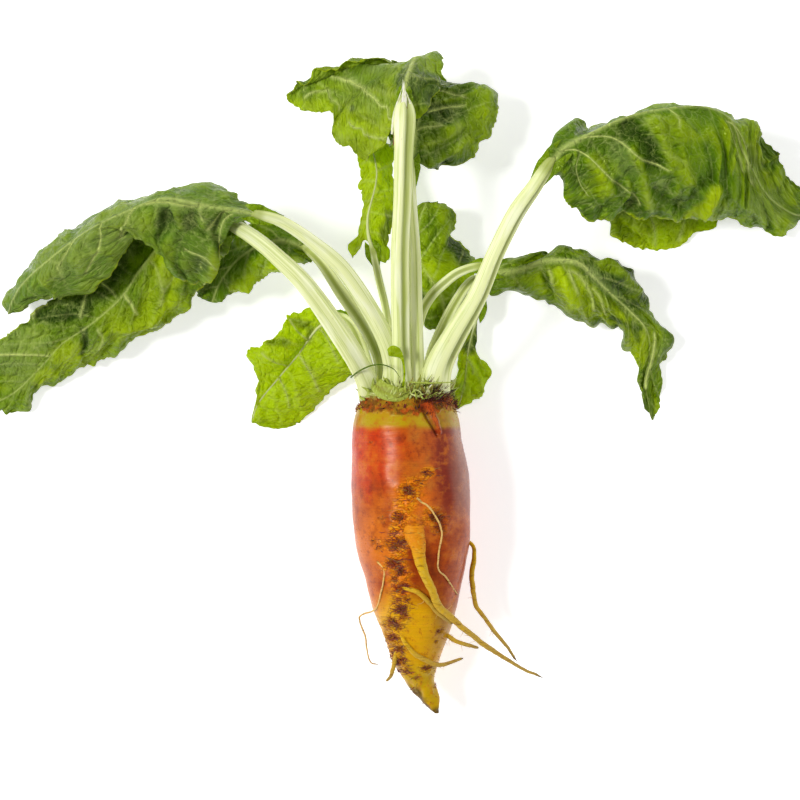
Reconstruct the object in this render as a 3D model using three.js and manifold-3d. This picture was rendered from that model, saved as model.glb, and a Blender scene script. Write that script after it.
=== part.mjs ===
// A fodder beet as picked, lying on its back with its leaves spread: millimetres, +Z up.
// The origin is the middle of the small flat on which the root rests, +Y points from the root's tip
// to its crown, and +X to the upper right leaf.
import * as THREE from 'three';
import { mergeVertices } from 'three/addons/utils/BufferGeometryUtils.js';
import Module from 'manifold-3d';

const wasm = await Module();
wasm.setup();

// Driving dimensions.
const GAP = 0.3; // clearance between touching pieces
const BLADE_THICKNESS = 1.6;
const ROOT_SIDES = 36;
// Cross-sections of stems: sides, about one ring of points in each step of length, depth over width.
const STALK = { sides: 10, step: 18, depth: 0.8 };
const ROOTLET = { sides: 7, step: 9, depth: 1 };
const FEWEST_STEPS = 4;
const BLADE_STEPS_ALONG = 15;
const BLADE_STEPS_ACROSS = 4; // in each half, from midrib to edge
const BLADE_END = 0.985; // the sheet stops just before its edges meet in a point
const MIDRIB_REACH = [0.05, 0.12]; // where the stalk's end runs on into the blade, from 0 to 1
const MIDRIB_TAPER = [0.7, 0.4]; // and its width there over the stalk's last width
const UNDERGROUND = { span: 1000, depth: 50 };

const COLOURS = {
  root: 0xb8501f,
  branch: 0xc79a2c,
  stalk: 0xdde3a8,
  blade: 0x5d8f1c,
  crown: 0x9a9a4a,
  dry: 0x5b5a2e,
};
const ROUGHNESS = { root: 0.4, stalk: 0.5, blade: 0.45, rough: 0.7 };

// The taproot, from its tip to its crown: the middle of each ring and its radius.
const ROOT_RINGS = [
  { y: -193, x: 23.0, z: 37, r: 1.5 },
  { y: -188, x: 20.5, z: 37, r: 4.5 },
  { y: -178, x: 15.3, z: 37, r: 9.5 },
  { y: -161, x: 6.8, z: 39, r: 14.6 },
  { y: -142, x: 3.9, z: 42, r: 21.9 },
  { y: -121, x: 4.2, z: 45, r: 29.4 },
  { y: -97, x: 3.2, z: 48, r: 37.8 },
  { y: -69, x: 2.4, z: 50.5, r: 43.9 },
  { y: -54, x: 1.2, z: 51.5, r: 48.0 },
  { y: -38, x: 1.2, z: 52, r: 51.2 },
  { y: -18, x: 0.6, z: 52, r: 52.6 },
  { y: 0, x: 0.4, z: 52, r: 53.0 },
  { y: 18, x: -0.5, z: 52, r: 53.1 },
  { y: 36, x: -1.8, z: 52, r: 52.2 },
  { y: 54, x: -3.6, z: 52, r: 49.9 },
  { y: 70, x: -4.4, z: 52, r: 47.6 },
  { y: 81, x: -4.4, z: 52, r: 44.6 },
  { y: 88, x: -3.6, z: 52, r: 41.5 },
  { y: 94, x: -2.7, z: 52, r: 39.0 },
  { y: 100, x: -2.7, z: 52, r: 34.5 },
  { y: 104, x: -2.7, z: 52, r: 26.0 },
  { y: 106, x: -2.7, z: 52, r: 12.0 },
];

// Side roots and hair roots: the path of the middle, and the width along it.
const ROOTLETS = {
  branch_root_main: {
    path: [[2, -17, 97], [6, -39, 105], [11, -62, 101], [19, -80, 95], [26, -95, 87], [39, -107, 77],
      [51, -118, 70], [62, -127, 63], [80, -139, 56], [98, -150, 50], [119, -160, 45]],
    widths: [15.3, 13.5, 10.8, 8.6, 7.2, 5.9, 5, 4.5, 3.6, 3.1, 2.2],
  },
  branch_root_thin: {
    path: [[-6, -77, 88], [3, -80, 92], [11, -86, 90], [21, -96, 84], [29, -104, 80], [37, -110, 74]],
    widths: [4.5, 4.5, 4, 3.6],
  },
  branch_root_right: {
    path: [[49, -36, 52], [57, -44, 52], [55, -64, 50], [56, -81, 48], [60, -98, 46], [69, -110, 44],
      [78, -122, 42], [88, -134, 40], [96, -146, 38]],
    widths: [3.6, 5, 4.5, 4, 3.6, 3.1, 2.2],
  },
  branch_root_short: {
    path: [[30, -121, 52], [40, -126, 52], [50, -130, 50], [61, -133, 48]],
    widths: [4.5, 4, 3.6, 2.7],
  },
  branch_root_low: {
    path: [[-12, -115, 68], [-6, -126, 71], [4, -138, 67], [16, -145, 61], [28, -148, 55],
      [37, -146, 52], [47, -143, 50]],
    widths: [3.6, 4.5, 4.5, 3.6, 2.7],
  },
  branch_root_tip: {
    path: [[-12, -133, 59], [-15, -145, 57], [-17, -156, 53], [-22, -163, 50]],
    widths: [3.6, 4, 3.6, 2.2],
  },
  hair_root_left: {
    path: [[-30, -54, 88], [-24, -62, 89], [-26, -81, 80], [-31, -96, 67], [-36, -100, 61],
      [-46, -105, 54], [-42, -122, 46], [-37, -145, 40], [-30, -149, 38]],
    widths: [1.8, 1.8],
  },
  hair_root_right: {
    path: [[5, 3, 104], [19, -9, 103], [27, -28, 99], [24, -48, 96], [25, -61, 92], [33, -72, 83],
      [42, -85, 62]],
    widths: [2, 2],
  },
};

// Leaves, frontmost first. The stalk's path starts inside the crown. The blade hangs between its
// midrib (rib) and its two edges, left and right as seen from base to tip, and each half bellies
// out by its bulge, given from base to tip.
const LEAVES = {
  centre: {
    stalk: [[-8, 97, 70], [-9, 135, 84], [-10, 179, 94], [-10, 223, 102], [-8, 267, 106],
      [-7, 312, 108], [-6, 343, 106], [-6, 361, 103]],
    widths: [17.1, 16.2, 16.2, 15.3, 15.3, 15.3, 12.6, 7.2],
    rib: [[-6, 360, 102], [-5, 373, 97], [0, 388, 88], [4, 397, 76], [7, 394, 56], [8, 379, 38],
      [8, 358, 24], [6, 335, 14]],
    left: [[-13, 337, 98], [-24, 320, 84], [-40, 304, 62], [-53, 318, 56], [-64, 322, 52],
      [-72, 331, 52], [-70, 347, 58], [-94, 349, 54], [-113, 362, 46], [-103, 373, 50], [-77, 383, 56],
      [-44, 394, 62], [-21, 396, 54], [-10, 392, 34], [-3, 377, 20], [6, 335, 14]],
    right: [[0, 337, 98], [11, 343, 98], [19, 355, 96], [24, 370, 88], [28, 389, 74], [22, 399, 56],
      [26, 392, 38], [32, 376, 24], [32, 355, 16], [6, 335, 14]],
    bulge: { left: [0, 6, 10, 6, 0], right: [0, 4, 4, 4, 0] },
  },
  front_left: {
    stalk: [[-36, 95, 58], [-42, 113, 72], [-59, 143, 90], [-92, 190, 105], [-120, 218, 106],
      [-141, 235, 101], [-158, 245, 92]],
    widths: [18, 18, 18, 16.2, 14.4, 13.5, 11.7],
    rib: [[-156, 244, 90], [-184, 244, 80], [-220, 232, 68], [-242, 209, 58], [-260, 183, 48],
      [-288, 159, 40], [-315, 141, 34], [-336, 119, 24], [-363, 95, 10], [-394, 83, 2]],
    left: [[-154, 240, 84], [-169, 219, 74], [-185, 200, 60], [-201, 173, 42], [-221, 159, 32],
      [-249, 142, 24], [-278, 125, 18], [-295, 117, 14], [-313, 111, 12], [-325, 105, 10],
      [-343, 97, 8], [-354, 81, 3], [-374, 75, 1], [-394, 83, 2]],
    right: [[-160, 250, 88], [-185, 260, 70], [-217, 259, 54], [-244, 245, 46], [-271, 225, 42],
      [-299, 198, 40], [-330, 176, 42], [-359, 153, 34], [-382, 140, 20], [-401, 115, 8],
      [-394, 83, 2]],
    bulge: { left: [0, 4, 8, 8, 4, 0], right: [0, -4, -2, 4, 6, 0] },
  },
  upper_right: {
    stalk: [[20, 101, 68], [26, 124, 76], [39, 149, 88], [59, 183, 99], [75, 221, 108],
      [92, 255, 114], [108, 278, 118], [120, 296, 120]],
    widths: [22.5, 22.5, 20.7, 17.1, 15.3, 15.3, 13.5, 11.7],
    rib: [[121, 297, 120], [136, 313, 117], [158, 326, 114], [190, 341, 110], [225, 349, 104],
      [260, 351, 97], [284, 341, 90], [298, 321, 78], [306, 298, 62], [322, 274, 40], [346, 259, 18],
      [361, 259, 8]],
    left: [[118, 302, 116], [132, 315, 106], [170, 329, 60], [183, 308, 16], [183, 267, 4],
      [192, 238, 2], [216, 229, 2], [234, 229, 2], [254, 238, 2], [272, 258, 3], [292, 299, 10],
      [316, 333, 44], [331, 313, 34], [343, 289, 22], [359, 277, 12], [361, 259, 8]],
    right: [[125, 292, 114], [134, 282, 106], [138, 268, 96], [153, 252, 84], [166, 250, 78],
      [189, 256, 72], [212, 252, 66], [242, 250, 58], [260, 255, 52], [278, 253, 46], [293, 252, 38],
      [312, 244, 26], [330, 241, 16], [348, 250, 8], [361, 259, 8]],
    bulge: { left: [0, 24, 46, 44, 16, 6, 0], right: [0, 8, 14, 14, 10, 4, 0] },
  },
  centre_right: {
    stalk: [[6, 97, 64], [5, 139, 74], [4, 179, 80], [3, 224, 84], [0, 268, 86], [-1, 300, 86]],
    widths: [13.5, 12.6, 11.7, 10.8, 9.9, 9],
    rib: [[-1, 300, 86], [3, 322, 83], [8, 345, 76], [15, 362, 66], [26, 372, 56], [41, 375, 46]],
    left: [[-5, 304, 82], [-13, 316, 72], [-21, 334, 62], [-17, 354, 52], [-3, 369, 44],
      [17, 379, 38], [41, 375, 46]],
    right: [[4, 302, 82], [22, 297, 70], [40, 298, 60], [59, 317, 52], [66, 331, 48], [74, 346, 46],
      [74, 364, 42], [60, 371, 42], [41, 375, 46]],
    bulge: { left: [0, 3, 3, 0], right: [0, 6, 8, 6, 0] },
  },
  top_left: {
    stalk: [[-17, 97, 62], [-17, 126, 76], [-30, 159, 90], [-59, 204, 108], [-86, 229, 116],
      [-113, 247, 121], [-135, 254, 123]],
    widths: [16.2, 16.2, 16.2, 15.3, 12.6, 10.8, 9],
    rib: [[-134, 253, 123], [-151, 257, 123], [-188, 263, 122], [-222, 268, 118], [-258, 255, 108],
      [-290, 239, 96], [-322, 216, 84], [-346, 196, 70], [-358, 180, 56], [-363, 167, 46]],
    left: [[-132, 250, 118], [-152, 248, 112], [-164, 234, 103], [-168, 216, 96], [-177, 200, 90],
      [-188, 191, 86], [-199, 194, 84], [-209, 211, 92], [-223, 236, 100], [-235, 249, 106],
      [-254, 227, 92], [-271, 202, 78], [-294, 186, 66], [-319, 185, 60], [-335, 184, 56],
      [-347, 175, 50], [-363, 167, 46]],
    right: [[-112, 253, 112], [-132, 261, 112], [-152, 268, 104], [-163, 280, 92], [-178, 272, 74],
      [-204, 265, 40], [-237, 265, 10], [-274, 247, 1], [-306, 225, 1], [-336, 201, 1], [-356, 181, 6],
      [-363, 167, 46]],
    bulge: { left: [0, 0, 4, 8, 6, 0], right: [0, 2, 8, 14, 12, 0] },
  },
  low_right: {
    stalk: [[15, 101, 42], [19, 131, 45], [32, 162, 47], [46, 187, 46], [56, 198, 42], [62, 197, 36],
      [64, 186, 30], [61, 170, 27]],
    widths: [9.9, 9.9, 9.9, 9, 8.1, 8.1, 7.2, 6.3],
    rib: [[61, 169, 27], [55, 149, 22], [51, 128, 17], [49, 106, 10], [43, 82, 2]],
    left: [[59, 164, 24], [55, 147, 18], [61, 133, 15], [69, 115, 10], [73, 110, 8], [65, 97, 3],
      [60, 89, 2], [43, 82, 2]],
    right: [[56, 164, 24], [48, 146, 20], [41, 134, 15], [34, 119, 10], [28, 104, 6], [30, 92, 2],
      [43, 82, 2]],
    bulge: { left: [0, 4, 5, 3, 0], right: [0, 4, 4, 3, 0] },
  },
  mid_left: {
    stalk: [[-28, 101, 46], [-28, 124, 52], [-40, 153, 58], [-63, 187, 66], [-80, 212, 72],
      [-94, 226, 74]],
    widths: [10.8, 10.8, 11.7, 11.7, 9.9, 8.1],
    rib: [[-94, 225, 74], [-113, 233, 72], [-134, 230, 66], [-156, 216, 54], [-172, 196, 44],
      [-180, 178, 36]],
    left: [[-87, 218, 70], [-100, 212, 62], [-118, 209, 56], [-134, 200, 50], [-151, 190, 44],
      [-163, 185, 40], [-180, 178, 36]],
    right: [[-89, 235, 78], [-106, 246, 80], [-130, 250, 78], [-153, 241, 62], [-177, 225, 44],
      [-191, 206, 36], [-195, 188, 34], [-180, 178, 36]],
    bulge: { left: [0, 3, 3, 2, 0], right: [0, 3, 3, 2, 0] },
  },
  right: {
    stalk: [[7, 101, 46], [4, 135, 50], [8, 164, 56], [17, 182, 60], [30, 195, 63], [44, 205, 65],
      [62, 210, 66]],
    widths: [9, 9, 9, 9, 9, 8.1, 7.2],
    rib: [[62, 210, 66], [80, 205, 66], [98, 207, 66], [116, 214, 66], [135, 215, 65], [152, 211, 62],
      [166, 199, 56], [181, 185, 48], [199, 169, 40], [214, 152, 30], [216, 128, 16], [213, 104, 7],
      [220, 71, 1]],
    left: [[65, 216, 62], [89, 218, 58], [116, 221, 50], [131, 220, 44], [143, 230, 48],
      [153, 222, 44], [170, 217, 48], [190, 213, 44], [210, 186, 30], [219, 167, 26], [236, 144, 16],
      [235, 126, 10], [228, 110, 6], [228, 85, 1], [220, 71, 1]],
    right: [[64, 201, 62], [71, 184, 52], [91, 186, 44], [109, 183, 38], [128, 175, 32],
      [144, 166, 26], [158, 158, 18], [177, 158, 14], [195, 157, 16], [194, 140, 14], [201, 125, 8],
      [209, 104, 2], [215, 81, 1], [220, 71, 1]],
    bulge: { left: [0, 6, 8, 8, 6, 4, 0], right: [0, 8, 10, 10, 8, 4, 0] },
  },
  inner_left: {
    stalk: [[-21, 104, 48], [-20, 135, 52], [-22, 168, 56], [-29, 199, 60], [-34, 223, 62]],
    widths: [8.1, 8.1, 7.2, 7.2, 6.3],
    rib: [[-34, 223, 62], [-38, 237, 62], [-39, 252, 62], [-36, 267, 62], [-32, 282, 60],
      [-31, 298, 56], [-35, 315, 48], [-41, 328, 40]],
    left: [[-37, 227, 60], [-41, 234, 56], [-53, 219, 50], [-48, 245, 54], [-41, 262, 56],
      [-45, 270, 54], [-47, 283, 50], [-46, 299, 46], [-50, 315, 42], [-41, 328, 40]],
    right: [[-31, 223, 60], [-24, 214, 56], [-17, 225, 54], [-21, 236, 56], [-15, 250, 54],
      [-13, 270, 52], [-14, 288, 50], [-19, 306, 46], [-26, 320, 42], [-41, 328, 40]],
    bulge: { left: [0, 2, 2, 2, 0], right: [0, 2, 2, 2, 0] },
  },
  back: {
    stalk: [[21, 101, 34], [29, 126, 33], [33, 149, 33], [32, 167, 35]],
    widths: [9.9, 9.9, 9, 8.1],
    rib: [[32, 168, 35], [27, 184, 38], [17, 200, 40], [9, 214, 42], [6, 234, 42], [8, 252, 38],
      [14, 269, 34]],
    left: [[24, 150, 32], [12, 158, 28], [1, 180, 28], [-8, 208, 28], [-12, 235, 28], [-6, 257, 30],
      [14, 269, 34]],
    right: [[39, 150, 30], [50, 164, 27], [51, 190, 26], [59, 217, 24], [44, 230, 24], [39, 238, 26],
      [43, 251, 28], [41, 261, 28], [26, 269, 30], [14, 269, 34]],
    bulge: { left: [0, 3, 4, 3, 0], right: [0, 4, 5, 3, 0] },
  },
  low_left: {
    stalk: [[-33, 95, 34], [-39, 118, 38], [-46, 140, 41], [-54, 157, 42], [-64, 165, 40]],
    widths: [10.8, 10.8, 10.8, 9.9, 8.6],
    rib: [[-64, 165, 40], [-84, 156, 30], [-102, 132, 20], [-123, 107, 13], [-139, 87, 7],
      [-145, 69, 1]],
    left: [[-52, 178, 35], [-43, 164, 33], [-39, 137, 24], [-53, 115, 14], [-71, 103, 10],
      [-89, 82, 3], [-107, 67, 1], [-130, 65, 1], [-145, 69, 1]],
    right: [[-74, 181, 36], [-92, 174, 36], [-110, 168, 36], [-116, 153, 34], [-136, 138, 32],
      [-146, 134, 26], [-140, 117, 16], [-140, 94, 7], [-145, 69, 1]],
    bulge: { left: [0, 3, 5, 4, 2, 0], right: [0, 4, 5, 4, 2, 0] },
  },
};

// Small growth on the crown: path, widths and depth over width.
const CROWN_PIECES = {
  young_leaf: {
    path: [[-7, 102, 89], [-6, 115, 94], [-8, 127, 98], [-13, 132, 101], [-18, 134, 103],
      [-21, 135, 103]],
    widths: [2.4, 2.4, 4.5, 8, 8, 3],
    depth: 0.5,
    colour: COLOURS.blade,
  },
  torn_leaf_base: {
    path: [[-31, 104, 83], [-24, 98, 88], [-10, 95, 91], [4, 100, 89]],
    widths: [4, 9, 9, 4],
    depth: 0.6,
    colour: COLOURS.crown,
  },
  fallen_stalk: {
    path: [[-2, 106, 93], [17, 105, 92], [37, 106, 84]],
    widths: [2.4, 2.2, 1.6],
    depth: 1,
    colour: COLOURS.stalk,
  },
  dry_strand_left: {
    path: [[-54, 110, 80], [-46, 116, 86], [-35, 120, 89]],
    widths: [1.6, 1.6],
    depth: 1,
    colour: COLOURS.dry,
  },
  dry_strand_right: {
    path: [[-25, 120, 92], [-17, 118, 95], [-10, 110, 95]],
    widths: [1.6, 1.6],
    depth: 1,
    colour: COLOURS.dry,
  },
  dry_stub: {
    path: [[-33, 94, 50], [-40, 99, 48], [-46, 104, 46]],
    widths: [7, 6, 4],
    depth: 0.7,
    colour: COLOURS.crown,
  },
};

const UP = new THREE.Vector3(0, 0, 1);

function curveThrough(points) {
  const vectors = points.map((p) => new THREE.Vector3(...p));
  return new THREE.CatmullRomCurve3(vectors, false, 'catmullrom', 0.5);
}

function valueAlong(values, t) {
  const place = t * (values.length - 1);
  const i = Math.min(Math.floor(place), values.length - 2);
  return THREE.MathUtils.lerp(values[i], values[i + 1], place - i);
}

// A closed body from rings of equal point count: skin between rings and a fan over each end.
function loft(rings) {
  const sides = rings[0].length;
  const points = rings.flat();
  const faces = [];
  for (let i = 0; i < rings.length - 1; i++) {
    for (let j = 0; j < sides; j++) {
      const a = i * sides + j;
      const b = i * sides + ((j + 1) % sides);
      faces.push(a, b, b + sides, a, b + sides, a + sides);
    }
  }
  for (const end of [0, rings.length - 1]) {
    const middle = rings[end].reduce((sum, p) => sum.add(p), new THREE.Vector3());
    const hub = points.push(middle.divideScalar(sides)) - 1;
    for (let j = 0; j < sides; j++) {
      const a = end * sides + j;
      const b = end * sides + ((j + 1) % sides);
      faces.push(...(end === 0 ? [hub, b, a] : [hub, a, b]));
    }
  }
  return closedGeometry(points, faces);
}

function closedGeometry(points, faces) {
  const geometry = new THREE.BufferGeometry().setFromPoints(points);
  geometry.setIndex(faces);
  return geometry;
}

function toSolid(geometry) {
  const bare = geometry.clone();
  bare.deleteAttribute('normal');
  bare.deleteAttribute('uv');
  const merged = mergeVertices(bare, 1e-4);
  return new wasm.Manifold(new wasm.Mesh({
    numProp: 3,
    vertProperties: new Float32Array(merged.attributes.position.array),
    triVerts: new Uint32Array(merged.index.array),
  }));
}

function toGeometry(solid) {
  const mesh = solid.getMesh();
  const geometry = new THREE.BufferGeometry();
  geometry.setAttribute('position', new THREE.BufferAttribute(mesh.vertProperties, mesh.numProp));
  geometry.setIndex(new THREE.BufferAttribute(mesh.triVerts, 1));
  return geometry;
}

// What is left of a solid once its neighbours are cut from it: its largest part, without crumbs.
function carve(solid, neighbours) {
  let left = solid;
  for (const neighbour of neighbours) left = left.subtract(neighbour);
  const parts = left.decompose();
  return parts.reduce((a, b) => (b.volume() > a.volume() ? b : a));
}

function taproot(grow) {
  const rings = ROOT_RINGS.map(({ x, y, z, r }, i) => {
    const last = i === ROOT_RINGS.length - 1;
    const ring = [];
    for (let j = 0; j < ROOT_SIDES; j++) {
      const angle = (-j / ROOT_SIDES) * 2 * Math.PI;
      ring.push(new THREE.Vector3(
        x + (r + grow) * Math.cos(angle),
        y + (last ? grow : 0) - (i === 0 ? grow : 0),
        z + (r + grow) * Math.sin(angle),
      ));
    }
    return ring;
  });
  return toSolid(loft(rings));
}

// Everything below the surface that the beet lies on.
function underground() {
  const { span, depth } = UNDERGROUND;
  const block = new THREE.BoxGeometry(span, span, depth);
  block.translate(0, 0, -depth / 2);
  return toSolid(block);
}

// A tapered round or flattened stem along a path.
function stem(path, widths, { sides, step, depth }, grow) {
  const curve = curveThrough(path);
  const steps = Math.max(FEWEST_STEPS, Math.round(curve.getLength() / step));
  const rings = [];
  for (let i = 0; i <= steps; i++) {
    const t = i / steps;
    const along = curve.getTangent(t);
    const side = new THREE.Vector3().crossVectors(along, UP).normalize();
    const top = new THREE.Vector3().crossVectors(side, along).normalize();
    const middle = curve.getPoint(t);
    if (i === 0) middle.addScaledVector(along, -grow);
    if (i === steps) middle.addScaledVector(along, grow);
    const half = valueAlong(widths, t) / 2;
    const ring = [];
    for (let j = 0; j < sides; j++) {
      const angle = (-j / sides) * 2 * Math.PI;
      ring.push(middle.clone()
        .addScaledVector(side, (half + grow) * Math.cos(angle))
        .addScaledVector(top, (half * depth + grow) * Math.sin(angle)));
    }
    rings.push(ring);
  }
  return toSolid(loft(rings));
}

// The stalk runs on into the blade as the root of its midrib.
function leafStalk(leaf, grow) {
  const rib = curveThrough(leaf.rib);
  const end = leaf.widths.at(-1);
  const path = [...leaf.stalk, ...MIDRIB_REACH.map((t) => rib.getPoint(t).toArray())];
  const widths = [...leaf.widths, ...MIDRIB_TAPER.map((share) => end * share)];
  return stem(path, widths, STALK, grow);
}

// The middle surface of a blade at t along it and s across it, from -1 at the left edge to 1.
function bladePoint(curves, bulge, t, s) {
  const middle = curves.rib.getPoint(t);
  const edge = (s < 0 ? curves.left : curves.right).getPoint(t);
  const reach = edge.sub(middle);
  const along = curves.rib.getTangent(t);
  const out = new THREE.Vector3().crossVectors(reach, along).normalize();
  const belly = valueAlong(s < 0 ? bulge.left : bulge.right, t) * (s < 0 ? -1 : 1);
  const across = Math.abs(s);
  return middle
    .addScaledVector(reach, across)
    .addScaledVector(out, belly * 4 * across * (1 - across));
}

function leafBlade(leaf) {
  const curves = {
    rib: curveThrough(leaf.rib),
    left: curveThrough(leaf.left),
    right: curveThrough(leaf.right),
  };
  const columns = 2 * BLADE_STEPS_ACROSS;
  const grid = [];
  for (let i = 0; i <= BLADE_STEPS_ALONG; i++) {
    const t = (i / BLADE_STEPS_ALONG) * BLADE_END;
    const row = [];
    for (let j = 0; j <= columns; j++) {
      row.push(bladePoint(curves, leaf.bulge, t, (2 * j) / columns - 1));
    }
    grid.push(row);
  }
  return toSolid(thicken(grid, BLADE_THICKNESS));
}

// A closed sheet: the grid's surface moved half the thickness each way, and a rim round it.
function thicken(grid, thickness) {
  const rows = grid.length;
  const columns = grid[0].length;
  const points = [];
  for (const side of [1, -1]) {
    for (let i = 0; i < rows; i++) {
      for (let j = 0; j < columns; j++) {
        const along = grid[Math.min(i + 1, rows - 1)][j].clone().sub(grid[Math.max(i - 1, 0)][j]);
        const across = grid[i][Math.min(j + 1, columns - 1)].clone().sub(grid[i][Math.max(j - 1, 0)]);
        const normal = across.cross(along).normalize();
        points.push(grid[i][j].clone().addScaledVector(normal, (side * thickness) / 2));
      }
    }
  }
  const faces = [];
  const lower = rows * columns;
  const quad = (a, b, c, d) => faces.push(a, b, c, a, c, d);
  for (let i = 0; i < rows - 1; i++) {
    for (let j = 0; j < columns - 1; j++) {
      const a = i * columns + j;
      quad(a, a + 1, a + columns + 1, a + columns);
      quad(lower + a, lower + a + columns, lower + a + columns + 1, lower + a + 1);
    }
  }
  const rim = [];
  for (let j = 0; j < columns - 1; j++) rim.push(j);
  for (let i = 0; i < rows - 1; i++) rim.push(i * columns + columns - 1);
  for (let j = columns - 1; j > 0; j--) rim.push((rows - 1) * columns + j);
  for (let i = rows - 1; i > 0; i--) rim.push(i * columns);
  rim.forEach((a, k) => {
    const b = rim[(k + 1) % rim.length];
    quad(a, lower + a, lower + b, b);
  });
  return closedGeometry(points, faces);
}

const beet = new THREE.Group();

function addPiece(name, solid, colour, roughness) {
  const material = new THREE.MeshStandardMaterial({ color: colour, roughness, metalness: 0 });
  const mesh = new THREE.Mesh(toGeometry(solid), material);
  mesh.name = name;
  beet.add(mesh);
}

// Each piece is cut back from the ones before it, so that they meet with a small gap.
const floor = underground();
addPiece('taproot', taproot(0).subtract(floor), COLOURS.root, ROUGHNESS.root);
const placed = [taproot(GAP), floor];

for (const [name, leaf] of Object.entries(LEAVES)) {
  addPiece(`${name}_stalk`, carve(leafStalk(leaf, 0), placed), COLOURS.stalk, ROUGHNESS.stalk);
  placed.push(leafStalk(leaf, GAP));
}
for (const [name, { path, widths }] of Object.entries(ROOTLETS)) {
  addPiece(name, carve(stem(path, widths, ROOTLET, 0), placed), COLOURS.branch, ROUGHNESS.rough);
  placed.push(stem(path, widths, ROOTLET, GAP));
}
for (const [name, { path, widths, depth, colour }] of Object.entries(CROWN_PIECES)) {
  const shape = { ...ROOTLET, depth };
  addPiece(name, carve(stem(path, widths, shape, 0), placed), colour, ROUGHNESS.rough);
  placed.push(stem(path, widths, shape, GAP));
}
for (const [name, leaf] of Object.entries(LEAVES)) {
  addPiece(`${name}_blade`, carve(leafBlade(leaf), placed), COLOURS.blade, ROUGHNESS.blade);
}

export default beet;
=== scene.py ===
"""A freshly picked fodder beet, lying on its back with its leaves spread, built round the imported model."""

import math

import bpy
import numpy as np
from bpy.props import FloatProperty, FloatVectorProperty, PointerProperty
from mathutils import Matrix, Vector


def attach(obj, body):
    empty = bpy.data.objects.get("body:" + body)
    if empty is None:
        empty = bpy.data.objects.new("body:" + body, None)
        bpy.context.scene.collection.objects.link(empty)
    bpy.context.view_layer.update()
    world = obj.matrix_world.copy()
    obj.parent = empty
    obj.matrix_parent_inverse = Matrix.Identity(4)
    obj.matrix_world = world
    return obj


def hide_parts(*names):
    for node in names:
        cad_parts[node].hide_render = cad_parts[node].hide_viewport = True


bl_info = {
    "name": "Fodder Beet",
    "version": (1, 0, 0),
    "blender": (4, 5, 0),
    "location": "View3D > Sidebar > Beet",
    "description": "Builds a picked fodder beet with its root, stalks and drooping leaves",
    "category": "Add Mesh",
}

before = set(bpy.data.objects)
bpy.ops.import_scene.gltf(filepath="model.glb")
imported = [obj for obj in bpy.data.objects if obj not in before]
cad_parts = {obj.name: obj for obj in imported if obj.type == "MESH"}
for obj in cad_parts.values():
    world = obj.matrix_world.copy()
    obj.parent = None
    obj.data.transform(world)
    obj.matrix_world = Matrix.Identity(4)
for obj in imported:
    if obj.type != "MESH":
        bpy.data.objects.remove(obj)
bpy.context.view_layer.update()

MM = 0.001

# Height of the taproot's middle where it is widest, in millimetres.
ROOT_MIDDLE = 52

# Large numbers that scramble a place and a seed into noise, and the bits kept of the result.
SCRAMBLE = [np.uint64(number) for number in (374761393, 668265263, 1274126177)]
SEED_SCRAMBLE = 97463477
KEPT_BITS = 0xFFFFFFFF

# The points at which a curve is measured, and the fewest rings of a stalk, root or scale.
MEASURING_STEPS = 400
FEWEST_RINGS = 6

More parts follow.
